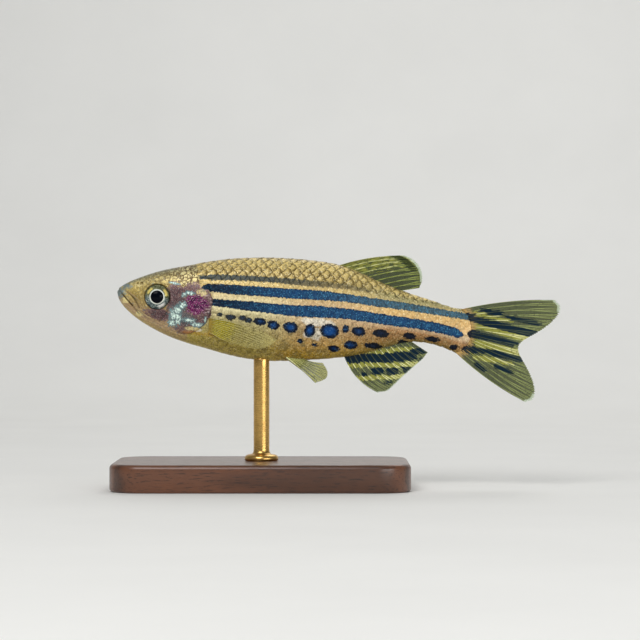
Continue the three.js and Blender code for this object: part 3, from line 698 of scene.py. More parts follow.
def build_scales(name, side, sizes):
    """Overlapping plates on one flank. A plate is a grid from its tucked front to its rounded rear edge,
    its height over the body rising evenly towards the rear, closed underneath by a fan."""
    table = arc_table()
    pitch, row_pitch = sizes.scale_pitch / MM, sizes.scale_row_pitch / MM
    thickness, tilt = sizes.scale_thickness / MM, sizes.scale_lift / MM
    root, arc0, shrink = (a[:, None, None] for a in scale_lattice(table, pitch, row_pitch))
    count = len(root)
    rng = np.random.default_rng(SCALE_SEED)
    shade = rng.random((count, 1, 1))
    wobble = rng.normal(0, 0.03, (count, 1, 1))
    u = np.array((0, 0.3, 0.55, 0.74, 0.89, 1))[None, :, None]
    v = np.linspace(-1, 1, 7)[None, None, :]
    shape = (u.size, v.size)
    front = -SCALE_AHEAD * pitch * shrink
    rear = SCALE_BEHIND * pitch * shrink * np.sqrt(1 - (0.97 * v) ** 2)
    ahead = front + u * (rear - front)
    across = v * SCALE_HALF_WIDTH * row_pitch * shrink * (1 - 0.12 * (1 - u))
    along = root + ahead + wobble * pitch
    arc = arc0 + across
    height = tilt * (u ** 1.3) * (1 - 0.35 * v ** 2 * u) - 0.35 * tilt * (1 - u)
    height = (height + 0.12 * tilt * np.cos(v * math.pi / 2)) * (0.62 + 0.38 * smooth(arc0, 1.8, 3.4))
    turn = turn_at(table, along, arc)
    top = body_point(along, turn, height)
    index = np.arange(shape[0] * shape[1]).reshape(shape)
    rim = np.concatenate((index[0], index[1:, -1], index[-1, -2::-1], index[-2:0:-1, 0]))
    flat_top = top.reshape(count, index.size, 3)
    under = body_point(along, turn, height - thickness).reshape(count, index.size, 3)[:, rim]
    middle = body_point(root[:, 0, 0], turn_at(table, root, arc0)[:, 0, 0], -0.2 * tilt - thickness)
    plates = np.concatenate((flat_top, under, middle[:, None]), axis=1)
    if side < 0:
        plates = plates * (1, -1, 1)
    each = plates.shape[1]
    first = (np.arange(count) * each)[:, None, None]
    around = np.arange(len(rim))
    after = (around + 1) % len(rim)
    walls = np.stack((rim[after], rim[around], index.size + around, index.size + after), -1)
    quads = np.concatenate((grid_faces(*shape), walls))[None] + first
    fans = np.stack((index.size + after, index.size + around, np.full(len(rim), each - 1)), -1)
    fans = fans[None] + first
    edge = np.maximum(smooth(u, 0.68, 1.0), 0.45 * smooth(np.abs(v), 0.7, 1.0) * smooth(u, 0.3, 0.8))
    edge = np.broadcast_to(edge, (count, *shape)).reshape(count, index.size)
    edge = np.concatenate((edge, edge[:, rim], np.zeros((count, 1))), axis=1)
    tone = np.broadcast_to(shade[:, 0], edge.shape)
    flat = plates.reshape(-1, 3)
    attributes = markings(flat)
    attributes["scale"] = np.stack((edge, tone, np.ones(edge.shape)), -1).reshape(-1, 3)
    uv = scale_uv(root[:, 0, 0], arc0[:, 0, 0], u, v, rim)
    return make_piece(name, place_fish(flat), quads.reshape(-1, 4), fans.reshape(-1, 3), attributes, uv)


def scale_uv(root, arc, u, v, rim):
    """Each plate is a small patch at its root's place on an unwrap of the flank: the distance along and
    the arc length up, each as a share of the flank's. The patches are smaller than the plates' spacing, so
    that none lies over another."""
    place = np.stack((0.02 + 0.95 * root / STALK_TO, 0.5 + 0.95 * arc / (2 * ARC_REACH)), -1)
    shape = (u.size, v.size)
    across = np.broadcast_to(v[0], shape).ravel() * BAKE_PATCH / 2
    ahead = (np.broadcast_to(u[0], shape).ravel() - 0.5) * BAKE_PATCH
    corner = np.stack((ahead, across), -1)
    local = np.concatenate((corner, corner[rim] * 1.04, ((0.0, 0.0),)))
    return (place[:, None] + local[None]).reshape(-1, 2)


# Eyes


def build_eye(name, side):
    """A lens bulging through a flat ring of iris inside a rolled edge: height over the eye's middle as a
    function of the radius, closed behind by half an ellipsoid."""
    radial, angular = 56, 120
    front = np.linspace(0.01, 1, radial) ** 0.9
    behind = np.linspace(1, 0.02, 16)[1:]
    radius = np.concatenate((front, behind)) * (EYE_RADIUS - 0.01)
    share = radius / EYE_RADIUS
    dome = EYE_BULGE * np.sqrt(np.clip(1 - share ** 2, 0, None))
    lens = 0.07 * np.sqrt(np.clip(1 - (share / 0.5) ** 2, 0, None))
    iris = -0.05 * smooth(share, 0.48, 0.56) * (1 - smooth(share, 0.86, 0.97))
    ring = 0.025 * bell(share - 0.55, 0.035)
    height = np.where(np.arange(len(radius)) < radial, dome + lens + iris + ring, -0.5 * dome)
    angle = full_turn(angular)
    along = EYE_AT[0] + radius[:, None] * np.cos(angle)
    up = EYE_AT[1] + radius[:, None] * np.sin(angle)
    out = side * (EYE_OUT + height[:, None] + 0 * angle)
    poles = [(EYE_AT[0], side * (EYE_OUT + end), EYE_AT[1]) for end in (height[0], height[-1])]
    flat, quads, caps = capped_grid(np.stack((along, out, up), -1), poles)
    away = np.repeat(share, angular)
    rearward, upward = (np.tile(wave(angle), len(radius)) for wave in (np.cos, np.sin))
    places = np.pad(np.stack((away, rearward, upward), -1), ((0, len(poles)), (0, 0)))
    return make_piece(name, place_fish(flat), quads, caps, {"eye": places})


# Fins


def arched(start, end, share, arch):
    """The point at a share of the chord from start to end, moved square to the chord in side view by
    4 * share * (1 - share) * arch."""
    point = between(start, end, share[..., None])
    chord = end - start
    length = np.hypot(chord[..., 0], chord[..., 2])
    off = 4 * share * (1 - share) * arch / length
    return point + np.stack((-chord[..., 2] * off, 0 * off, chord[..., 0] * off), -1)


def median_fin(fin):
    """The middle surface of a fin on the back or the belly, as a function of across and down."""

    def place(across, down):
        along = between(*fin["root"], across)
        edge = outline(along, 0 if fin["side"] > 0 else 1) - fin["side"] * FIN_SINK
        root = np.stack((along, 0 * along, edge), -1)
        first, last = (np.broadcast_to((a, 0.0, b), root.shape) for a, b in fin["rim"])
        rim = arched(first, last, across, fin["side"] * fin["rim_arch"])
        rounded = fin["round"][0] * bell(across, 0.09) + fin["round"][1] * bell(1 - across, 0.09)
        rim = between(rim, root, rounded[..., None])
        return arched(root, rim, down, fin["side"] * fin["arch"] * (1 - across))

    return place


def tail_fin(across, down):
    """The tail fin's middle surface: rays fan out from a hub at an angle that grows with the distance from
    the middle ray, and are longest in the two lobes, whose ends are rounded."""
    outward = np.abs(1 - 2 * across)
    side = np.where(across < 0.5, 1.0, -1.0)
    lobe = np.where(across < 0.5, *TAIL["lobes"])
    edge = np.where(across < 0.5, outline(STALK_FROM, 0), -outline(STALK_FROM, 1))
    rounded = (STALK_TO - STALK_FROM) * np.sqrt(1 - (TAIL["root_share"] * outward) ** 2)
    root_at = STALK_FROM + rounded - FIN_SINK
    root = np.stack((root_at, 0 * across, side * outward * edge * TAIL["root_height"]), -1)
    angle = side * TAIL["spread"] * outward ** TAIL["crowding"] - TAIL["droop"]
    reach = between(TAIL["fork"], lobe, smooth(outward / TAIL["fork_width"]))
    reach = reach * (1 - TAIL["rounding"] * smooth(outward, TAIL["rounding_from"], 1))
    rim_along = TAIL["hub"][0] + np.cos(angle) * reach
    rim_up = TAIL["hub"][1] + np.sin(angle) * reach
    rim = np.stack((rim_along, 0 * across, rim_up), -1)
    return arched(root, rim, down, side * TAIL["arch"] * outward)


def paired_fin(fin, side):
    """The middle surface of a fin on one flank, from a root inside the body."""

    def place(across, down):
        ends = [np.array((a, side * out, up)) for a, up, out in fin["root"] + fin["rim"]]
        root = between(ends[0], ends[1], across[..., None])
        rim = arched(ends[2] + 0 * root, ends[3] + 0 * root, across, fin["rim_arch"])
        return arched(root, rim, down, fin["arch"] * (1 - 2 * across))

    return place


def ray_ridges(across, down, rays):
    """How far each point stands on a ray, from 0 on the web to 1 on the crest. A ray is a bell across; it
    forks into two and then four, which stand evenly apart at the rim."""
    place = across * (rays - 1)
    off = place - np.round(place)
    first = 0.23 * smooth(down, 0.3, 1.0)
    second = 0.115 * smooth(down, 0.55, 1.05)
    width = 0.12 - 0.055 * smooth(down, 0.15, 0.7)
    crest = np.zeros(np.broadcast(across, down).shape)
    for a in (-1, 1):
        for b in (-1, 1):
            crest = np.maximum(crest, bell(off - a * first - b * second, width))
    return crest


def comb_shift(across, rays):
    """A share from -0.5 to 0.5 that is even over one branch of a ray and differs from branch to branch: the
    fraction left over from a large multiple of a sine."""
    branch = np.floor(across * (rays - 1) * 4 + 0.5)
    return np.mod(np.sin(branch * COMB_HASH[0]) * COMB_HASH[1], 1.0) - 0.5


def build_fin(name, place, fin, sizes, bands):
    """A closed thin slab on both sides of the fin's middle surface. Its half thickness is a thin web plus
    the rays' jointed ridges, thinning towards the rim, and flesh at the root. Bands end unevenly, branch
    by branch."""
    rays, (columns_per_ray, rows), (flesh, flesh_share) = fin["rays"], fin["mesh"], fin["flesh"]
    web, ray, ripple = sizes
    columns = (rays - 1) * columns_per_ray + 1
    across = np.broadcast_to(np.linspace(0, 1, columns)[None, :], (rows, columns))
    down = np.broadcast_to((np.linspace(0, 1, rows) ** 0.9)[:, None], (rows, columns))
    ridge = ray_ridges(across, down, rays)
    leading = np.maximum(bell(across, 0.6 / rays), bell(1 - across, 0.5 / rays))
    reach = down * (1 - 0.02 * (1 - ridge) * smooth(down, 0.9, 1.0))
    middle = place(across, reach)
    step = 1e-3
    over = place(np.clip(across + step, 0, 1), reach) - place(np.clip(across - step, 0, 1), reach)
    along = place(across, np.clip(reach + step, 0, 1)) - place(across, np.clip(reach - step, 0, 1))
    normal = np.cross(over, along)
    normal /= np.linalg.norm(normal, axis=-1, keepdims=True)
    length = np.linalg.norm(place(across, np.ones_like(down)) - place(across, 0 * down), axis=-1)
    joints = 1 - 0.3 * np.clip(np.cos(down * length * (2 * math.pi / JOINT_LENGTH)), 0, 1) ** 6
    taper = 1 - 0.7 * smooth(down, 0.1, 1.0)
    half = web / 2 + ray / 2 * ridge * taper * (0.75 + 0.25 * joints) * (1 + 0.5 * leading)
    half = half * (1 - 0.5 * smooth(down, 0.93, 1.0))
    half = half + flesh * (1 - smooth(down, 0, flesh_share))
    wave = ripple * np.sin(across * 9 + down * 3) * down ** 1.5
    centre = middle + normal * wave[..., None]
    faces = np.stack((centre + normal * half[..., None], centre - normal * half[..., None]))
    flat = faces.reshape(-1, 3)
    per_face = rows * columns
    top = grid_faces(rows, columns)
    bottom = grid_faces(rows, columns, per_face)[:, ::-1]
    edge = np.concatenate((
        np.arange(columns - 1),
        np.arange(rows - 1) * columns + columns - 1,
        per_face - 1 - np.arange(columns - 1),
        (rows - 1 - np.arange(rows - 1)) * columns,
    ))
    after = np.roll(edge, -1)
    walls = np.stack((after, edge, per_face + edge, per_face + after), -1)
    shifted = np.clip(reach + fin["comb"] * comb_shift(across, rays) / length, 0, 1)
    marked = place(across, shifted).reshape(-1, 3)
    dark, gold, pale = (np.tile(part, 2) for part in bands(marked, down.ravel(), across.ravel()))
    fine = np.stack((ridge, down, across * (rays - 1)), -1).reshape(-1, 3)
    attributes = {"fin": np.tile(fine, (2, 1)), "bands": np.stack((dark, gold, pale), -1)}
    quads = np.concatenate((top, bottom, walls))
    return make_piece(name, place_fish(flat), quads, (), attributes)


def band_weight(points, bands, softness=0.07):
    """1 inside any of several bands, fading over the softness at their edges."""
    along, _, up = np.moveaxis(points, -1, 0)
    weight = np.zeros(along.shape)
    for path, half in bands:
        distance = path_distance(along, up, path)
        weight = np.maximum(weight, 1 - smooth(distance, half - softness, half + softness))
    return weight


def tail_bands(points, down, across):
    """Dark bands that carry the body's stripes on, gold between them, and pale tips."""
    outward = np.abs(1 - 2 * across)
    tips = smooth(outward, 0.66, 0.82) * smooth(down, 0.955, 0.98)
    sides = 0.7 * smooth(outward, 0.975, 0.995) * smooth(down, 0.75, 0.9)
    return band_weight(points, TAIL_BANDS), band_weight(points, GOLD_BANDS), np.maximum(tips, sides)


def anal_bands(points, down, across):
    """A dark band near the body and a row of dark spots, gold between them, and a clear edge."""
    rim = 0.8 * smooth(down, 0.955, 1.0) + 0.5 * bell(across, 0.02)
    return band_weight(points, ANAL_BANDS), band_weight(points, GOLD_BANDS), rim


def dorsal_bands(points, down, across):
    """Dark below a white rim that is widest at the upper rear, and a golden front."""
    tip = 0.75 * smooth(down, 0.72, 0.84) * (1 - smooth(down, 0.9, 0.94)) * (1 - smooth(across, 0.4, 0.8))
    rim = smooth(down, 0.925, 0.965) * (1 - 0.7 * smooth(across, 0.7, 1.0)) + 0.5 * bell(across, 0.02)
    return tip, 0.55 * (1 - smooth(across, 0.2, 0.75)) * (1 - tip), 0.85 * rim


def plain_bands(points, down, across):
    """No dark marks; a yellow flush near the root."""
    return 0 * down, 0.75 * (1 - smooth(down, 0.15, 0.7)), 0.3 * smooth(down, 0.9, 1.0)


# Barbels


def build_barbels(name):
    """Four tapering tubes: circles carried along a curve through three points by the skin."""
    steps, sides = 26, 12
    share = np.linspace(0, 1, steps)
    radius = (0.085 * (1 - share) ** 0.7 + 0.022)[:, None, None]
    angle = full_turn(sides)[None, :, None]
    tubes, quads, caps = [], [], []
    for _, side in HANDS:
        for points in BARBELS:
            path = [(along, side * (skin_out(along, up) + off), up) for along, up, off in points]
            curves = [spline((0, 0.5, 1), axis) for axis in zip(*path)]
            centre = np.stack([curve(share) for curve in curves], -1)
            tangent = np.gradient(centre, axis=0)
            first = np.cross(tangent, (0, 1, 0))
            first /= np.linalg.norm(first, axis=-1, keepdims=True)
            second = np.cross(tangent, first)
            second /= np.linalg.norm(second, axis=-1, keepdims=True)
            ring = np.cos(angle) * first[:, None] + np.sin(angle) * second[:, None]
            start = sum(len(t) for t in tubes)
            parts = capped_grid(centre[:, None] + ring * radius, centre[[0, -1]], start)
            for all_parts, part in zip((tubes, quads, caps), parts):
                all_parts.append(part)
    flat, quads, caps = (np.concatenate(parts) for parts in (tubes, quads, caps))
    return make_piece(name, place_fish(flat), quads, caps)


# Stand


def build_base(name, length, width, height, corner, bevel):
    """A rounded rectangle carried up a profile: each ring is the outline drawn in by the profile's inset,
    so that the top edge is a quarter round with a flat inside it."""
    turns = np.linspace(0, math.pi / 2, 13)
    bend = np.linspace(0, math.pi / 2, 9)
    profile = [(0.0, BASE_INSET), (0.0, 1.0), (0.0, 0.25), (0.08, 0.1), (0.25, 0.0)]
    profile += [(height - bevel + bevel * math.sin(t), bevel * (1 - math.cos(t))) for t in bend]
    profile += [(height, bevel + 0.3), (height, 2.0), (height, BASE_INSET)]
    rings = []
    for level, inset in profile:
        radius = max(corner - inset, 0.05)
        x, y = length / 2 - inset - radius, width / 2 - inset - radius
        points = []
        for quarter, (sx, sy) in enumerate(((1, 1), (-1, 1), (-1, -1), (1, -1))):
            angle = turns + quarter * math.pi / 2
            points.append(np.stack((sx * x + radius * np.cos(angle), sy * y + radius * np.sin(angle)), -1))
        ring = np.concatenate(points)
        rings.append(np.column_stack((ring, np.full(len(ring), level))))
    flat, quads, caps = capped_grid(np.stack(rings), ((0, 0, 0), (0, 0, height)))
    return make_piece(name, flat * MM, quads, caps)


def build_rod(name, radius, top, bottom):
    """A turned rod: a profile of radius against height spun about the upright axis, with a small rounded
    collar where it leaves the base and a narrowed end in the belly."""
    collar = np.linspace(0, math.pi / 2, 7)
    profile = [(0.001, bottom), (radius, bottom), (radius + 0.75, bottom), (radius + 0.85, bottom + 0.1)]
    profile += [(radius + 0.35 + 0.5 * math.cos(t), bottom + 0.25 + 0.35 * math.sin(t)) for t in collar]
    profile += [(radius + 0.12, bottom + 0.66), (radius + 0.02, bottom + 0.85), (radius, bottom + 1.1)]
    profile += [(radius, bottom + (top - bottom) * share) for share in (0.3, 0.6, 0.9)]
    profile += [(radius, top - 0.35), (radius - 0.06, top - 0.1), (0.001, top)]
    angle = full_turn(64)
    r, z = (np.array(a)[:, None] for a in zip(*profile))
    grid = np.stack(np.broadcast_arrays(r * np.cos(angle), r * np.sin(angle), z + 0 * angle), -1)
    flat, quads, caps = capped_grid(grid, ((0, 0, bottom), (0, 0, top)))
    return make_piece(name, flat * MM, quads, caps)


# Shader nodes


class Graph:
    """Short ways to add nodes to a tree. A value given where a socket is expected is set on the node."""

    def __init__(self, tree):
        self.tree = tree
        self.nodes = tree.nodes

    def put(self, socket, value):
        """Links an output to a socket, or sets a plain value on it."""
        if isinstance(value, bpy.types.NodeSocket):
            self.tree.links.new(value, socket)
        elif isinstance(value, tuple) and len(value) == 3 and socket.type == "RGBA":
            socket.default_value = (*value, 1.0)
        else:
            socket.default_value = value

    def add(self, kind, inputs=(), **settings):
        """A new node with its settings and inputs."""
        node = self.nodes.new(kind)
        for key, value in settings.items():
            setattr(node, key, value)
        for key, value in dict(inputs).items():
            self.put(node.inputs[key], value)
        return node

    def math(self, operation, *values):
        """The result of one math node."""
        return self.add("ShaderNodeMath", dict(enumerate(values)), operation=operation).outputs[0]

    def plus(self, first, second):
        """A sum."""
        return self.math("ADD", first, second)

    def times(self, first, *others):
        """A product of two or more values."""
        for other in others:
            first = self.math("MULTIPLY", first, other)
        return first

    def mix(self, factor, a, b, blend="MIX"):
        """Colour a at a factor of 0 and b at 1."""
        inputs = {0: factor, 6: a, 7: b}
        return self.add("ShaderNodeMix", inputs, data_type="RGBA", blend_type=blend).outputs[2]

    def layered(self, colour, *layers):
        """A colour with others over it, each given as how much of it shows and the colour."""
        for factor, over in layers:
            colour = self.mix(factor, colour, over)
        return colour

    def tint(self, colour, tone):
        """A colour darkened or lightened by a tone about 1."""
        grey = self.add("ShaderNodeCombineColor", {0: tone, 1: tone, 2: tone}).outputs[0]
        return self.mix(1.0, colour, grey, "MULTIPLY")

    def range(self, value, low, high, to_low=0.0, to_high=1.0, kind="SMOOTHSTEP"):
        """A value carried smoothly from one range to another and held at its ends."""
        inputs = {0: value, 1: low, 2: high, 3: to_low, 4: to_high}
        return self.add("ShaderNodeMapRange", inputs, interpolation_type=kind).outputs[0]

    def spread(self, noise, to_low, to_high, low=0.3, high=0.7):
        """The middle of a noise's range carried evenly to another range."""
        return self.range(noise, low, high, to_low, to_high, "LINEAR")

    def ramp(self, value, stops):
        """Colours at stops along a value, blended evenly between them."""
        node = self.add("ShaderNodeValToRGB", {0: value})
        elements = node.color_ramp.elements
        while len(elements) < len(stops):
            elements.new(1.0)
        for element, (position, colour) in zip(elements, stops):
            element.position = position
            element.color = (*colour, 1.0)
        return node.outputs[0]

    def parts(self, name):
        """The three values of a point attribute."""
        vector = self.add("ShaderNodeAttribute", attribute_name=name).outputs["Vector"]
        return self.add("ShaderNodeSeparateXYZ", {0: vector}).outputs

    def stretch(self, vector, scale, rotation=(0.0, 0.0, 0.0)):
        """Places scaled and turned, so that a noise over them is drawn out."""
        inputs = {"Vector": vector, "Rotation": rotation, "Scale": scale}
        return self.add("ShaderNodeMapping", inputs).outputs[0]

    def millimetres(self):
        """Places on the object in millimetres."""
        return self.stretch(self.add("ShaderNodeTexCoord").outputs["Object"], (1 / MM,) * 3)

    def noise(self, vector, scale, detail=3.0, roughness=0.55):
        """Soft noise from 0 to 1."""
        inputs = {"Vector": vector, "Scale": scale, "Detail": detail, "Roughness": roughness}
        return self.add("ShaderNodeTexNoise", inputs).outputs[0]

    def bump(self, height, strength, depth):
        """Normals of a relief that is this many millimetres deep."""
        inputs = {"Strength": strength, "Distance": depth * MM, "Height": height}
        return self.add("ShaderNodeBump", inputs).outputs[0]

    def group(self, tree, **inputs):
        """The outputs of a node group."""
        node = self.add("ShaderNodeGroup", node_tree=tree)
        for key, value in inputs.items():
            self.put(node.inputs[key.replace("_", " ")], value)
        return node.outputs


def new_group(name, inputs, outputs):
    """An empty shader group with named sockets."""
    tree = bpy.data.node_groups.new(name, "ShaderNodeTree")
    for socket, kind, default in inputs:
        made = tree.interface.new_socket(socket, in_out="INPUT", socket_type=kind)
        if default is not None:
            made.default_value = default
    for socket, kind in outputs:
        tree.interface.new_socket(socket, in_out="OUTPUT", socket_type=kind)
    graph = Graph(tree)
    return graph, graph.add("NodeGroupInput").outputs, graph.add("NodeGroupOutput").inputs


def cell_group():
    """Pigment cells: a speckle of small cells, of which a share is lit, each with its own strength."""
    graph, given, result = new_group(
        "pigment cells",
        (("Vector", "NodeSocketVector", None), ("Scale", "NodeSocketFloat", 8.0),
         ("Share", "NodeSocketFloat", 0.4)),
        (("Mask", "NodeSocketFloat"), ("Tone", "NodeSocketFloat")),
    )
    cells = graph.add("ShaderNodeTexVoronoi", {"Vector": given["Vector"], "Scale": given["Scale"]})
    tone = graph.add("ShaderNodeSeparateColor", {0: cells.outputs["Color"]}).outputs
    lit = graph.math("LESS_THAN", tone[0], given["Share"])
    dot = graph.range(cells.outputs["Distance"], 0.62, 0.36)
    graph.put(result["Mask"], graph.times(lit, dot))
    graph.put(result["Tone"], tone[1])
    return graph.tree


def mottle_group():
    """A soft uneven tone: the colour lightened and darkened by noise."""
    graph, given, result = new_group(
        "mottle",
        (("Vector", "NodeSocketVector", None), ("Color", "NodeSocketColor", None),
         ("Scale", "NodeSocketFloat", 2.0), ("Amount", "NodeSocketFloat", 0.3)),
        (("Color", "NodeSocketColor"), ("Height", "NodeSocketFloat")),
    )
    noise = graph.noise(given["Vector"], given["Scale"], 5.0, 0.6)
    low = graph.math("SUBTRACT", 1.0, given["Amount"])
    high = graph.plus(1.0, given["Amount"])
    graph.put(result["Color"], graph.tint(given["Color"], graph.spread(noise, low, high)))
    graph.put(result["Height"], noise)
    return graph.tree


def new_material(name, **settings):
    """A material with one Principled shader whose constants are set on its own sockets."""
    material = bpy.data.materials.new(name)
    material.use_nodes = True
    shader = material.node_tree.nodes["Principled BSDF"]
    for key, value in settings.items():
        shader.inputs[key.replace("_", " ")].default_value = value
    return material, Graph(material.node_tree), shader.inputs


def ground_colour(graph, livery, place):
    """The colour between the stripes on the fore, middle and hind body. From the belly up it runs through
    tan and cream to gold and olive, then to a pale gold band beside the duller ridge of the back."""
    back, gold, cream = (tuple(c) for c in (livery.back, livery.gold, livery.cream))
    belly, flush, top = (tuple(c) for c in (livery.belly, livery.flush, livery.back_edge))
    ridge = tuple(0.45 * c for c in top)
    upper = (
        (0.7, gold), (0.79, gold), (0.85, back), (0.91, back), (0.945, top), (0.975, top), (1.0, ridge))
    fore = graph.ramp(place[0], (
        (0.0, linear(198, 180, 94)), (0.1, belly), (0.24, linear(190, 178, 122)),
        (0.31, linear(192, 180, 134)), (0.38, cream), (0.46, cream), (0.58, linear(232, 212, 162)),
        *upper))
    middle = graph.ramp(place[0], (
        (0.0, linear(184, 156, 56)), (0.1, linear(190, 150, 76)), (0.22, linear(184, 148, 100)),
        (0.32, linear(204, 174, 132)), (0.42, linear(218, 186, 146)), (0.58, linear(208, 175, 129)),
        *upper))
    hind = graph.ramp(place[0], (
        (0.0, linear(140, 116, 52)), (0.14, flush), (0.3, linear(178, 132, 86)),
        (0.43, linear(212, 186, 152)), (0.58, linear(220, 180, 117)), (0.66, linear(214, 178, 116)),
        (0.76, linear(178, 164, 112)), (0.86, linear(150, 146, 98)), (0.95, top), (1.0, ridge)))
    return graph.layered(
        fore, (graph.range(place[1], 0.4, 0.56), middle), (graph.range(place[1], 0.6, 0.8), hind))


def body_colour(graph, livery, parts, vector, noises, cells, fleck):
    """The ground between the stripes with all that lies on it apart from the stripes and spots."""
    place, face, belly, scale = (parts[name] for name in ("place", "face", "belly", "scale"))
    comb, uneven, wander = noises
    flush = graph.range(graph.plus(belly[0], wander), 0.25, 0.9)
    pale = graph.range(graph.plus(face[2], wander), 0.35, 0.75)

    # Scales on the back: a painted highlight of gold in the middle, with a broken dark rear edge
    middle = graph.times(graph.range(scale[0], 0.45, 0.0), scale[2])
    painted_scale_highlight = graph.times(middle, graph.range(place[0], 0.82, 0.88, 0.0, 0.42))
    edge = graph.times(scale[0], graph.range(place[0], 0.76, 0.86, 0.06, 0.9),
                       graph.range(uneven, 0.35, 0.55, 0.5, 1.0, "LINEAR"))

    # Dark cells on the back and the belly, and bright ones
    dark = graph.group(cells, Vector=vector, Scale=5.5, Share=0.34)
    back = graph.range(place[0], 0.8, 0.9, 0.0, 0.6)
    low = graph.range(place[0], 0.42, 0.24, 0.1, 0.5)
    specks = graph.times(dark["Mask"], graph.math("MAXIMUM", back, low))
    lit = graph.times(fleck["Mask"], graph.range(place[0], 0.3, 0.42, 0.2, 0.55))

    # Clouds and grit on the belly
    murk = graph.times(
        graph.range(graph.noise(vector, 1.1, 5.0, 0.65), 0.45, 0.62),
        graph.range(place[0], 0.33, 0.22, 0.0, 0.55),
        graph.range(place[1], 0.3, 0.42, 0.12, 1.0),
        graph.range(place[1], 0.52, 0.66, 1.0, 0.4))
    grit = graph.times(
        graph.range(graph.noise(vector, 5.5, 3.0, 0.7), 0.52, 0.66),
        graph.range(place[0], 0.38, 0.28, 0.05, 0.45))

    # Brown streaks behind the gill cover
    drawn = graph.stretch(vector, (0.45, 0.6, 3.6), (0.0, -0.2, 0.0))
    fan = graph.times(
        graph.range(graph.noise(drawn, 1.9, 3.0, 0.6), 0.5, 0.6),
        graph.range(place[1], 0.31, 0.275),
        graph.range(place[0], 0.42, 0.38),
        graph.range(place[0], 0.12, 0.2),
        0.6)

    # Painted glints: bright specks that stand in for light sparkling off the skin
    painted_glints = graph.range(graph.noise(vector, 7.5, 3.0, 0.7), 0.54, 0.66, 0.0, 0.45)
    ground = graph.layered(
        ground_colour(graph, livery, place),
        (graph.times(flush, 0.8), linear(188, 150, 50)),
        (graph.times(pale, 0.8), linear(248, 242, 226)),
        (painted_scale_highlight, linear(234, 208, 136)),
        (edge, linear(86, 70, 34)),
        (specks, linear(88, 72, 36)),
        (lit, linear(252, 238, 190)),
        (murk, linear(112, 102, 62)),
        (grit, linear(92, 80, 48)),
        (fan, linear(104, 78, 44)),
        (painted_glints, linear(240, 224, 168)),
    )
    return graph.tint(ground, graph.spread(comb, 0.84, 1.1))


def head_colour(graph, livery, parts, vector, cells):
    """The head: gold-olive above and tan below, broken by brown specks, then its patches, painted glints
    and painted shade in its creases."""
    along = parts["place"][1]
    face, cheek, belly = (parts[name] for name in ("face", "cheek", "belly"))
    ground = graph.ramp(face[0], (
        (0.0, linear(188, 164, 94)), (0.12, linear(190, 160, 124)), (0.3, linear(170, 142, 94)),
        (0.5, linear(182, 158, 92)), (0.7, linear(192, 168, 92)), (0.9, linear(198, 182, 122)),
        (1.0, linear(142, 148, 126))))
    fine = graph.noise(vector, 5.0, 4.0, 0.65)
    wander = graph.spread(fine, -0.4, 0.4)

    def weight(socket, low=0.3, high=0.7):
        return graph.range(graph.plus(socket, wander), low, high)

    # Specks, and a net round larger cells that is boldest on the nape
    dark = graph.group(cells, Vector=vector, Scale=4.6, Share=0.4)
    warped = graph.add("ShaderNodeVectorMath", {
        0: vector, 1: graph.times(fine, 0.5)}, operation="ADD").outputs[0]
    cell = graph.add("ShaderNodeTexVoronoi", {"Vector": warped, "Scale": 2.5},
                     feature="DISTANCE_TO_EDGE").outputs["Distance"]
    net = graph.times(graph.range(cell, 0.22, 0.06), graph.range(fine, 0.36, 0.5))
    nape = graph.times(graph.range(along, 0.13, 0.18), graph.range(face[0], 0.56, 0.64))
    bold = graph.times(graph.range(cell, 0.2, 0.08), nape, 0.6)
    shown = graph.times(graph.range(face[0], 0.25, 0.8, 0.4, 1.0, "LINEAR"),
                        graph.range(along, 0.05, 0.2, 0.5, 1.0, "LINEAR"))
    specks = graph.times(graph.math("MAXIMUM", dark["Mask"], net), shown)

    # Pale streaks on the rear of the gill cover, and the violet patch in its middle
    drawn = graph.stretch(vector, (0.5, 0.5, 2.4), (0.0, 0.3, 0.0))
    streaks = graph.times(
        graph.range(graph.noise(drawn, 3.4, 3.0, 0.6), 0.52, 0.66),
        graph.range(along, 0.225, 0.26),
        graph.range(belly[2], 0.25, 0.4),
        cheek[2],
        0.7)
    # Painted sparkle: bright specks that stand in for light glinting on the violet patch and the mauve
    painted_sparkle = graph.range(graph.noise(vector, 12.0, 3.0, 0.7), 0.55, 0.68)
    violet = graph.layered(
        linear(60, 12, 58),
        (graph.range(fine, 0.42, 0.66), tuple(livery.gill)),
        (graph.times(painted_sparkle, 0.85), linear(222, 166, 196)),
    )

    ragged = graph.plus(cheek[1], graph.times(wander, 1.3))
    # Painted glints: bright specks that stand in for light sparkling off the head
    painted_glints = graph.range(graph.noise(vector, 7.0, 3.0, 0.7), 0.54, 0.66, 0.0, 0.6)
    return graph.layered(
        ground,
        (graph.times(nape, 0.45), linear(240, 226, 168)),
        (painted_glints, linear(236, 216, 146)),
        (graph.math("MAXIMUM", specks, bold), linear(84, 62, 26)),
        (weight(cheek[2], 0.25, 0.8), linear(116, 86, 88)),
        (weight(face[1], 0.3, 1.1), linear(114, 130, 130)),
        (weight(face[2]), linear(222, 204, 142)),
        (weight(belly[0], 0.35, 0.95), linear(180, 126, 72)),
        (graph.times(weight(cheek[2], 0.7, 1.1), 0.75), linear(60, 40, 44)),
        (streaks, linear(226, 200, 198)),
        (weight(cheek[0], 0.4, 0.65), violet),
        (graph.range(ragged, 0.2, 0.6), linear(98, 128, 130)),
        (graph.range(ragged, 0.62, 1.2), linear(222, 242, 230)),
        (graph.times(painted_sparkle, graph.range(cheek[2], 0.2, 0.8, 0.25, 0.5)), linear(232, 216, 204)),
        # Painted shade in the creases of mouth, jaws, cheek, gill slit, eye rim and nostrils
        (graph.times(belly[1], 0.8), linear(62, 46, 30)),
    )


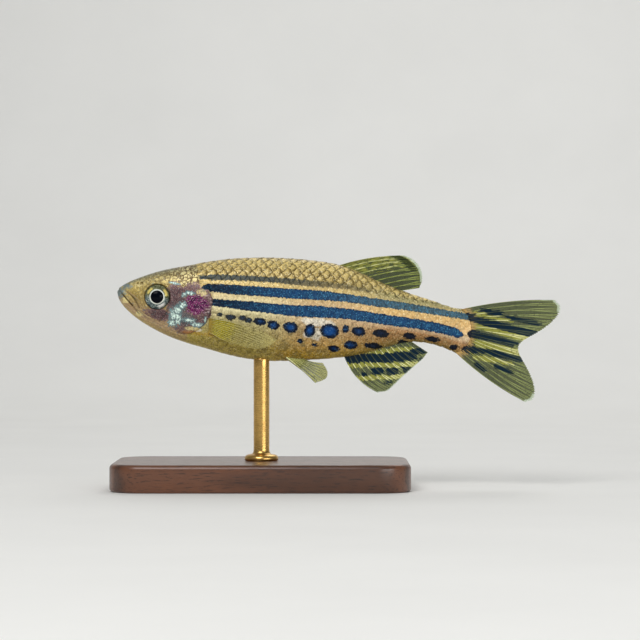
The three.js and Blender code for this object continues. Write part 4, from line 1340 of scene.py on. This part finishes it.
def stripe_colour(graph, livery, place, depth, comb, vector, cells):
    """Navy behind the head, bluer from mid-body to the tail and darkest at the edges. The upper stripe
    pales towards the tail, and dark streaks and lit cells break them all."""
    lit = graph.group(cells, Vector=vector, Scale=9.5, Share=0.5)
    share = graph.range(place[1], 0.22, 0.5, 0.2, 0.95, "LINEAR")
    pale = graph.times(graph.range(place[0], 0.6, 0.64), graph.range(place[1], 0.5, 0.85, 0.0, 0.4))
    return graph.layered(
        tuple(livery.navy),
        (graph.range(place[1], 0.26, 0.5), tuple(livery.blue)),
        (graph.times(graph.range(depth, 0.22, 0.0), 0.75), linear(8, 22, 46)),
        (pale, linear(112, 136, 116)),
        (graph.times(graph.range(comb, 0.42, 0.62), 0.5), linear(10, 32, 58)),
        (graph.times(lit["Mask"], share, lit["Tone"]), linear(72, 138, 172)),
    )


def skin_material(livery, cells, mottle):
    """The livery of skin and scales: over the body's colour come the grey stripe, the blue stripes, the
    spots and the head, each with an uneven edge."""
    material, graph, shader = new_material(
        "danio skin", Coat_Weight=0.08, Coat_Roughness=0.12, Specular_IOR_Level=0.15)
    vector = graph.millimetres()
    parts = {name: graph.parts(name) for name in ("place", "marks", "face", "cheek", "belly", "scale")}
    place, marks, scale = parts["place"], parts["marks"], parts["scale"]
    comb = graph.noise(graph.stretch(vector, (1.0, 1.0, 0.3)), 8.0, 2.0, 0.6)
    uneven = graph.noise(vector, 4.0, 3.0, 0.6)
    jitter = graph.plus(graph.spread(uneven, -0.08, 0.08, 0.25, 0.75), graph.spread(comb, -0.05, 0.05))
    wander = graph.spread(graph.noise(vector, 1.6, 4.0), -0.3, 0.3, 0.32, 0.68)
    fleck = graph.group(cells, Vector=vector, Scale=8.5, Share=0.22)

    grey = graph.mix(graph.range(comb, 0.4, 0.6), tuple(livery.grey), linear(36, 52, 60))
    spot = graph.layered(
        linear(5, 17, 36),
        (graph.range(marks[2], 0.08, 0.4), linear(10, 68, 130)),
        (graph.times(fleck["Mask"], 0.3), linear(92, 140, 176)),
        (graph.range(place[1], 0.62, 0.76, 0.0, 0.85), linear(10, 14, 24)),
        (graph.range(place[1], 0.36, 0.42, 0.3, 0.0), linear(70, 72, 60)),
    )
    in_grey = graph.range(graph.plus(marks[1], graph.times(jitter, 1.5)), -0.04, 0.06)
    in_stripe = graph.range(graph.plus(marks[0], jitter), -0.03, 0.03)
    in_spot = graph.range(graph.plus(marks[2], graph.times(jitter, 0.95)), -0.06, 0.01)
    in_head = graph.range(graph.plus(place[2], wander), 0.3, 0.7)
    colour = graph.layered(
        body_colour(graph, livery, parts, vector, (comb, uneven, wander), cells, fleck),
        (graph.times(in_grey, graph.range(place[1], 0.4, 0.68, 0.95, 0.5)), grey),
        (in_stripe, stripe_colour(graph, livery, place, marks[0], comb, vector, cells)),
        (in_spot, spot),
        (in_head, head_colour(graph, livery, parts, vector, cells)),
    )
    each = graph.range(scale[1], 0.0, 1.0, 0.93, 1.06, "LINEAR")
    colour = graph.mix(scale[2], colour, graph.tint(colour, each))
    toned = graph.group(mottle, Vector=vector, Color=colour, Scale=5.0, Amount=0.16)
    graph.put(shader["Base Color"], toned["Color"])

    marked = graph.math("MAXIMUM", in_stripe, in_spot)
    graph.put(shader["Metallic"], graph.range(marked, 0.0, 1.0, 0.3, 0.12, "LINEAR"))
    graph.put(shader["Roughness"], graph.spread(toned["Height"], 0.34, 0.5))
    height = graph.plus(graph.noise(vector, 9.0, 3.0), graph.times(comb, 0.6))
    graph.put(shader["Normal"], graph.bump(height, 0.7, 0.03))
    return material


def eye_material(livery):
    """Black lens, a thin bright ring, an iris that is olive above with two gold arcs and silver-blue below
    with a painted glint, and a dark edge."""
    material, graph, shader = new_material(
        "danio eye", Roughness=0.2, Coat_Weight=0.06, Coat_Roughness=0.02, Specular_IOR_Level=0.04)
    away, rearward, upward = graph.parts("eye")
    streaks = graph.noise(graph.millimetres(), 5.0, 4.0)
    gold = graph.ramp(streaks, (
        (0.35, linear(68, 68, 42)), (0.5, tuple(livery.iris)), (0.66, linear(152, 150, 112))))
    silver = graph.ramp(streaks, (
        (0.35, linear(40, 58, 66)), (0.5, linear(96, 110, 108)), (0.68, linear(190, 200, 190))))
    ring = graph.times(graph.range(away, 0.64, 0.72), graph.range(away, 0.9, 0.82))
    arc = graph.times(graph.range(graph.math("ABSOLUTE", rearward), 0.45, 0.7),
                      graph.range(upward, 0.1, 0.35), graph.range(upward, 0.92, 0.75), ring)
    # Painted glint: a white highlight painted on the lower iris
    painted_glint = graph.times(graph.range(rearward, 0.1, 0.4), graph.range(upward, -0.45, -0.75), ring)
    iris = graph.layered(
        gold,
        (graph.range(upward, 0.2, -0.3), silver),
        (arc, linear(238, 216, 122)),
        (painted_glint, linear(250, 250, 244)),
        (graph.range(away, 0.92, 0.985), linear(56, 50, 32)),
    )
    graph.put(shader["Base Color"], graph.layered(
        linear(3, 6, 14),
        (graph.range(away, 0.5, 0.52),
         graph.mix(graph.range(away, 0.585, 0.62), linear(240, 244, 232), iris)),
    ))
    lit = graph.times(graph.range(away, 0.5, 0.53), graph.range(away, 0.97, 0.88))
    graph.put(shader["Metallic"], graph.times(lit, 0.3))
    return material


def fin_material(name, colours, cover, cells):
    """A see-through web with firmer rays, flesh at the root, dark and gold bands broken by the rays, and
    pale tips. The colours are of web, rays, dark marks, gold and flesh, and the cover is that of web and
    rays."""
    web, ray, mark, bright, flesh = colours
    material, graph, shader = new_material(
        name, Roughness=0.4, Coat_Weight=0.02, Coat_Roughness=0.2, Specular_IOR_Level=0.08)
    vector = graph.millimetres()
    fin, bands = graph.parts("fin"), graph.parts("bands")
    lengthwise = graph.add("ShaderNodeCombineXYZ", {
        0: graph.times(fin[2], 5.0), 1: graph.times(fin[1], 9.0)}).outputs[0]
    streak = graph.noise(lengthwise, 1.0, 3.0)
    wander = graph.spread(streak, -0.38, 0.38)
    on_ray = graph.range(fin[0], 0.42, 0.75)
    cloudy = graph.range(streak, 0.35, 0.65)
    web_tone = graph.mix(graph.times(cloudy, 0.6), web, tuple(c * 0.45 for c in web))
    ray_tone = graph.mix(graph.times(cloudy, 0.5), ray, tuple(c * 0.55 for c in ray))
    gold = graph.range(graph.plus(bands[1], wander), 0.3, 0.7)
    dark = graph.range(graph.plus(bands[0], wander), 0.35, 0.65)
    deep = graph.mix(on_ray, mark, tuple(0.8 * m + 0.2 * r for m, r in zip(mark, ray)))
    speck = graph.group(cells, Vector=vector, Scale=6.0, Share=0.2)
    pale = graph.range(graph.plus(bands[2], graph.times(wander, 0.8)), 0.3, 0.8)
    graph.put(shader["Base Color"], graph.layered(
        web_tone,
        (on_ray, ray_tone),
        (graph.times(gold, 0.9), graph.mix(on_ray, bright, linear(236, 234, 172))),
        (graph.range(graph.plus(fin[1], graph.times(wander, 0.12)), 0.11, 0.02), flesh),
        (graph.times(dark, 0.97), deep),
        (graph.times(speck["Mask"], 0.45), linear(34, 42, 20)),
        (graph.times(pale, 0.85), linear(198, 210, 186)),
    ))
    solid = graph.math("MAXIMUM", on_ray, graph.math("MAXIMUM", dark, gold))
    webbed = graph.range(solid, 0.0, 1.0, *cover, "LINEAR")
    graph.put(shader["Alpha"], graph.math("MAXIMUM", webbed, graph.range(fin[1], 0.12, 0.0)))
    graph.put(shader["Normal"], graph.bump(graph.noise(vector, 12.0, 2.0), 0.4, 0.02))
    return material


def barbel_material(mottle):
    """Soft tan skin with uneven tone."""
    material, graph, shader = new_material("danio barbel", Roughness=0.4, Coat_Weight=0.3)
    toned = graph.group(mottle, Vector=graph.millimetres(), Color=(*linear(150, 126, 78), 1.0),
                        Scale=6.0, Amount=0.3)
    graph.put(shader["Base Color"], toned["Color"])
    return material


def wood_material(stand, mottle):
    """Dark wood: fine grain stretched along the base, darker pores, under a satin lacquer."""
    material, graph, shader = new_material("stand wood", Coat_Weight=0.35, Coat_Roughness=0.18)
    vector = graph.millimetres()
    stretched = graph.stretch(vector, (0.12, 1.0, 1.0))
    rings = graph.add("ShaderNodeTexWave", {
        "Vector": stretched, "Scale": 0.16, "Distortion": 11.0, "Detail": 4.0, "Detail Scale": 0.7},
        bands_direction="Y").outputs[1]
    pores = graph.noise(stretched, 6.5, 4.0, 0.7)
    colour = graph.layered(
        tuple(c * 0.5 for c in stand.wood),
        (graph.range(rings, 0.0, 0.9), tuple(stand.wood)),
        (graph.range(pores, 0.52, 0.68, 0.0, 0.75), linear(22, 12, 7)),
    )
    toned = graph.group(mottle, Vector=vector, Color=colour, Scale=0.15, Amount=0.2)
    graph.put(shader["Base Color"], toned["Color"])
    graph.put(shader["Roughness"], graph.spread(pores, 0.3, 0.48))
    graph.put(shader["Normal"], graph.bump(pores, 0.25, 0.04))
    return material


def brass_material(stand, mottle):
    """Turned brass with faint rings of tool marks and a slightly uneven tarnish."""
    material, graph, shader = new_material("stand brass", Metallic=1.0)
    vector = graph.millimetres()
    marks = graph.noise(graph.stretch(vector, (0.3, 0.3, 14.0)), 1.0, 3.0)
    toned = graph.group(mottle, Vector=vector, Color=(*stand.brass, 1.0), Scale=0.7, Amount=0.18)
    graph.put(shader["Base Color"], toned["Color"])
    graph.put(shader["Roughness"], graph.spread(marks, 0.2, 0.36))
    graph.put(shader["Normal"], graph.bump(marks, 0.2, 0.02))
    return material


# Settings that a user would change


def colour_setting(name, words, default):
    """A colour in the panel."""
    return bpy.props.FloatVectorProperty(
        name=name, description=words, default=default, subtype="COLOR", min=0, max=1)


def length_setting(name, words, millimetres):
    """A length in the panel, given in millimetres and kept in metres."""
    return bpy.props.FloatProperty(
        name=name, description=words, default=millimetres * MM, min=0, unit="LENGTH", precision=5)


class DanioBody(bpy.types.PropertyGroup):
    """Sizes of the skin and the scales"""
    skin_columns: bpy.props.IntProperty(
        name="Skin columns", description="Faces round the body", default=300, min=48)
    scale_pitch: length_setting("Scale spacing", "From one scale to the next along the body", 0.92)
    scale_row_pitch: length_setting("Row spacing", "From one row of scales to the next", 0.55)
    scale_thickness: length_setting("Scale thickness", "Thickness of one scale", 0.022)
    scale_lift: length_setting("Scale lift", "Height of a scale's rear edge over the body", 0.05)
    scale_bed: length_setting("Scale bed", "Depth of the skin under the scales", 0.05)


class DanioLivery(bpy.types.PropertyGroup):
    """Colours of the fish"""
    back: colour_setting("Back", "Olive gold of the back", linear(166, 142, 80))
    back_edge: colour_setting(
        "Back edge", "Pale gold band beside the ridge of the back", linear(232, 206, 126))
    gold: colour_setting("Gold", "Gold between the upper stripes", linear(208, 181, 118))
    cream: colour_setting("Cream", "Pale line under the lower stripe", linear(238, 226, 176))
    belly: colour_setting("Belly", "Yellow tan of the fore belly", linear(176, 158, 76))
    flush: colour_setting("Flush", "Orange tan of the hind belly", linear(156, 114, 64))
    navy: colour_setting("Navy", "Stripes behind the head", linear(3, 23, 42))
    blue: colour_setting("Blue", "Stripes from mid-body to the tail", linear(22, 68, 110))
    grey: colour_setting("Grey", "The thin uppermost stripe", linear(58, 63, 52))
    gill: colour_setting("Gill", "Violet showing through the gill cover", linear(140, 38, 104))
    iris: colour_setting("Iris", "Upper half of the iris", linear(102, 106, 76))
    fin_gold: colour_setting("Fin gold", "Yellow bands on the fins", linear(150, 150, 70))


class DanioFins(bpy.types.PropertyGroup):
    """Sizes of the fins"""
    web: length_setting("Web", "Thickness of a fin between its rays", 0.07)
    ray: length_setting("Ray", "Extra thickness over a ray near its root", 0.16)
    ripple: length_setting("Ripple", "Sideways wave at a fin's rim", 0.07)
    clear: bpy.props.FloatProperty(
        name="Web cover", description="How much one side of a web hides", default=0.78, min=0, max=1)


class DanioStand(bpy.types.PropertyGroup):
    """Sizes and colours of the stand"""
    bevel: length_setting("Bevel", "Round of the base's top edge", 0.45)
    corner: length_setting("Corner", "Round of the base's corners", 3.2)
    wood: colour_setting("Wood", "Lighter grain of the wood", linear(104, 62, 38))
    brass: colour_setting("Brass", "The rod's metal", linear(206, 166, 96))


class DanioStage(bpy.types.PropertyGroup):
    """Camera, light and floor"""
    view_width: length_setting("View width", "Width of the picture at the fish", 60.66)
    lens: bpy.props.FloatProperty(
        name="Lens", description="Focal length for a 36 mm sensor", default=150, min=20, unit="CAMERA")
    light: bpy.props.FloatProperty(
        name="Light", description="Strength of the main light in watts", default=0.77, min=0)
    floor: colour_setting("Floor", "Floor and backdrop", linear(238, 237, 233))


SETTINGS = {
    "danio_body": DanioBody,
    "danio_livery": DanioLivery,
    "danio_fins": DanioFins,
    "danio_stand": DanioStand,
    "danio_stage": DanioStage,
}


def shared_group(name, maker):
    """The shader group of this name, made on first use."""
    return bpy.data.node_groups.get(name) or maker()


def shared_material(name, maker):
    """The material of this name, made on first use."""
    return bpy.data.materials.get(name) or maker()


def livery_material(scene):
    """The material that skin and scales share."""
    cells = shared_group("pigment cells", cell_group)
    mottle = shared_group("mottle", mottle_group)
    return shared_material("danio skin", lambda: skin_material(scene.danio_livery, cells, mottle))


# Operators


class DANIO_OT_skin(bpy.types.Operator):
    """Build the skin of head, jaw, gill covers, trunk and tail stalk as one surface"""
    bl_idname = "danio.skin"
    bl_label = "Skin"

    def execute(self, context):
        piece = build_skin(context.scene.danio_body)
        finish_piece(piece, livery_material(context.scene), "skin", "head", "lower_jaw",
                     "gill_cover_left", "gill_cover_right", "trunk", "tail_stalk")
        return {"FINISHED"}


class DANIO_OT_scales(bpy.types.Operator):
    """Lay the scales on both flanks"""
    bl_idname = "danio.scales"
    bl_label = "Scales"

    def execute(self, context):
        for hand, side in HANDS:
            piece = build_scales(f"scales_{hand}", side, context.scene.danio_body)
            finish_piece(piece, livery_material(context.scene), "skin")
        return {"FINISHED"}


class DANIO_OT_eyes(bpy.types.Operator):
    """Build both eyes"""
    bl_idname = "danio.eyes"
    bl_label = "Eyes"

    def execute(self, context):
        material = eye_material(context.scene.danio_livery)
        for hand, side in HANDS:
            finish_piece(build_eye(f"eyeball_{hand}", side), material, "eye", f"eye_{hand}")
        return {"FINISHED"}


class DANIO_OT_barbels(bpy.types.Operator):
    """Build the two pairs of barbels"""
    bl_idname = "danio.barbels"
    bl_label = "Barbels"

    def execute(self, context):
        mottle = shared_group("mottle", mottle_group)
        finish_piece(build_barbels("barbels"), barbel_material(mottle), "skin")
        return {"FINISHED"}


class DANIO_OT_fins(bpy.types.Operator):
    """Build the dorsal, anal, tail, pectoral and pelvic fins"""
    bl_idname = "danio.fins"
    bl_label = "Fins"

    def execute(self, context):
        fins, livery = context.scene.danio_fins, context.scene.danio_livery
        cells = shared_group("pigment cells", cell_group)
        sizes = (fins.web / MM, fins.ray / MM, fins.ripple / MM)
        dusk, gold = linear(30, 40, 20), tuple(livery.fin_gold)
        olive = fin_material(
            "median fin", (linear(84, 93, 50), linear(150, 158, 102), linear(0, 30, 50), gold,
                           linear(184, 152, 94)), (fins.clear, 0.98), cells)
        dusky = fin_material(
            "dorsal fin", (linear(60, 72, 22), linear(150, 160, 84), dusk, gold,
                           linear(150, 144, 86)), (fins.clear, 0.98), cells)
        pelvic = fin_material(
            "pelvic fin", (linear(104, 112, 42), linear(206, 204, 138), dusk, gold,
                           linear(150, 130, 60)), (fins.clear - 0.48, 0.92), cells)
        pectoral = fin_material(
            "pectoral fin", (linear(176, 166, 60), linear(224, 214, 146), dusk, linear(188, 172, 36),
                             linear(176, 150, 70)), (fins.clear - 0.72, 0.66), cells)
        middle = (
            ("dorsal", median_fin(DORSAL), DORSAL, dorsal_bands, dusky),
            ("anal", median_fin(ANAL), ANAL, anal_bands, olive),
            ("tail", tail_fin, TAIL, tail_bands, olive),
        )
        for name, place, fin, bands, material in middle:
            piece = build_fin(f"{name}_rays", place, fin, sizes, bands)
            finish_piece(piece, material, "fin", f"{name}_fin")
        for hand, side in HANDS:
            for name, fin, material in (("pectoral", PECTORAL, pectoral), ("pelvic", PELVIC, pelvic)):
                piece = build_fin(f"{name}_rays_{hand}", paired_fin(fin, side), fin, sizes, plain_bands)
                finish_piece(piece, material, "fin", f"{name}_fin_{hand}")
        return {"FINISHED"}


class DANIO_OT_stand(bpy.types.Operator):
    """Build the stand's base and rod"""
    bl_idname = "danio.stand"
    bl_label = "Stand"

    def execute(self, context):
        stand = context.scene.danio_stand
        mottle = shared_group("mottle", mottle_group)
        low, high = (np.array(corner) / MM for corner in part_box("stand_base"))
        length, width, height = high - low
        base = build_base("base", length, width, height, stand.corner / MM, stand.bevel / MM)
        finish_piece(base, wood_material(stand, mottle), "stand_base", "stand_base")
        rod_low, rod_high = (np.array(corner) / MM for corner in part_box("stand_rod"))
        radius = (rod_high[0] - rod_low[0]) / 2
        rod = build_rod("rod", radius, rod_high[2] + ROD_SINK, height)
        finish_piece(rod, brass_material(stand, mottle), "stand_rod", "stand_rod")
        return {"FINISHED"}


class DANIO_OT_stage(bpy.types.Operator):
    """Set up the floor, the lights and the camera"""
    bl_idname = "danio.stage"
    bl_label = "Stage"

    def execute(self, context):
        stage = context.scene.danio_stage
        build_backdrop(stage)
        build_lights(stage)
        build_camera(stage)
        return {"FINISHED"}


def build_backdrop(stage):
    """A floor that sweeps up into a backdrop: flat, then a quarter circle, then upright."""
    half, rear, bend = BACKDROP.values()
    turn = np.linspace(0, math.pi / 2, 24)
    y = np.concatenate(((-half, 0.0), rear + bend * np.sin(turn), (rear + bend,)))
    z = np.concatenate(((0.0, 0.0), bend * (1 - np.cos(turn)), (half,)))
    sides = np.array((-half, half))
    grid = np.stack(np.broadcast_arrays(sides[None, :], y[:, None], z[:, None]), -1)
    mesh = bpy.data.meshes.new("floor")
    mesh.from_pydata(grid.reshape(-1, 3).tolist(), [], grid_faces(len(y), 2).tolist())
    mesh.shade_smooth()
    floor = add_object("floor", mesh)
    material, graph, shader = new_material("floor", Roughness=0.75)
    tone = graph.spread(graph.noise(graph.millimetres(), 0.05, 3.0), 0.97, 1.0)
    graph.put(shader["Base Color"], graph.tint(tuple(stage.floor), tone))
    mesh.materials.append(material)


def build_lights(stage):
    """A large soft light above the camera's left, a weaker one on the right, one behind, and grey air."""
    centre = np.array(fish_centre())
    for name, place, size, share in LIGHTS:
        light = bpy.data.lights.new(name, "AREA")
        light.shape = "RECTANGLE"
        light.size, light.size_y = size
        light.energy = stage.light * share
        lamp = add_object(name, light)
        lamp.location = centre + place
        aim(lamp, centre)
    world = bpy.data.worlds.new("air")
    bpy.context.scene.world = world
    world.use_nodes = True
    background = world.node_tree.nodes["Background"]
    background.inputs["Color"].default_value = (*linear(226, 230, 234), 1.0)
    background.inputs["Strength"].default_value = AIR_STRENGTH
    bpy.context.scene.view_settings.view_transform = "Standard"


def aim(thing, target):
    """Turns a light or camera so that it looks at a point."""
    away = thing.location.copy()
    away.x, away.y, away.z = (float(a - b) for a, b in zip(thing.location, target))
    thing.rotation_euler = away.to_track_quat("Z", "Y").to_euler()


def fish_centre():
    """The middle of the picture at the fish."""
    snout = place_fish(np.zeros(3))
    return snout + np.array(VIEW_CENTRE) * MM


def build_camera(stage):
    """A long lens square to the fish's side, as far off as makes the picture the wanted width."""
    data = bpy.data.cameras.new("camera")
    data.lens = stage.lens
    data.sensor_width = SENSOR_WIDTH
    data.clip_start = 0.01
    camera = add_object("camera", data)
    bpy.context.scene.camera = camera
    centre = fish_centre()
    camera.location = centre + np.array((0, -stage.lens * stage.view_width / SENSOR_WIDTH, 0))
    aim(camera, centre)


class DANIO_PT_panel(bpy.types.Panel):
    """The fish's pieces and settings"""
    bl_idname = "DANIO_PT_panel"
    bl_label = "Zebra danio"
    bl_space_type = "VIEW_3D"
    bl_region_type = "UI"
    bl_category = "Danio"

    def draw(self, context):
        for operator in OPERATORS:
            self.layout.operator(operator.bl_idname)
        for setting, group in SETTINGS.items():
            box = self.layout.box()
            for name in group.__annotations__:
                box.prop(getattr(context.scene, setting), name)


OPERATORS = (DANIO_OT_skin, DANIO_OT_scales, DANIO_OT_eyes, DANIO_OT_barbels, DANIO_OT_fins,
             DANIO_OT_stand, DANIO_OT_stage)
CLASSES = (*SETTINGS.values(), *OPERATORS, DANIO_PT_panel)


def register():
    for cls in CLASSES:
        bpy.utils.register_class(cls)
    for name, group in SETTINGS.items():
        setattr(bpy.types.Scene, name, bpy.props.PointerProperty(type=group))


def unregister():
    for name in SETTINGS:
        delattr(bpy.types.Scene, name)
    for cls in reversed(CLASSES):
        bpy.utils.unregister_class(cls)


def main():
    """Builds every piece in turn."""
    register()
    bpy.ops.danio.skin()
    bpy.ops.danio.scales()
    bpy.ops.danio.eyes()
    bpy.ops.danio.barbels()
    bpy.ops.danio.fins()
    bpy.ops.danio.stand()
    bpy.ops.danio.stage()


if __name__ == "__main__":
    main()
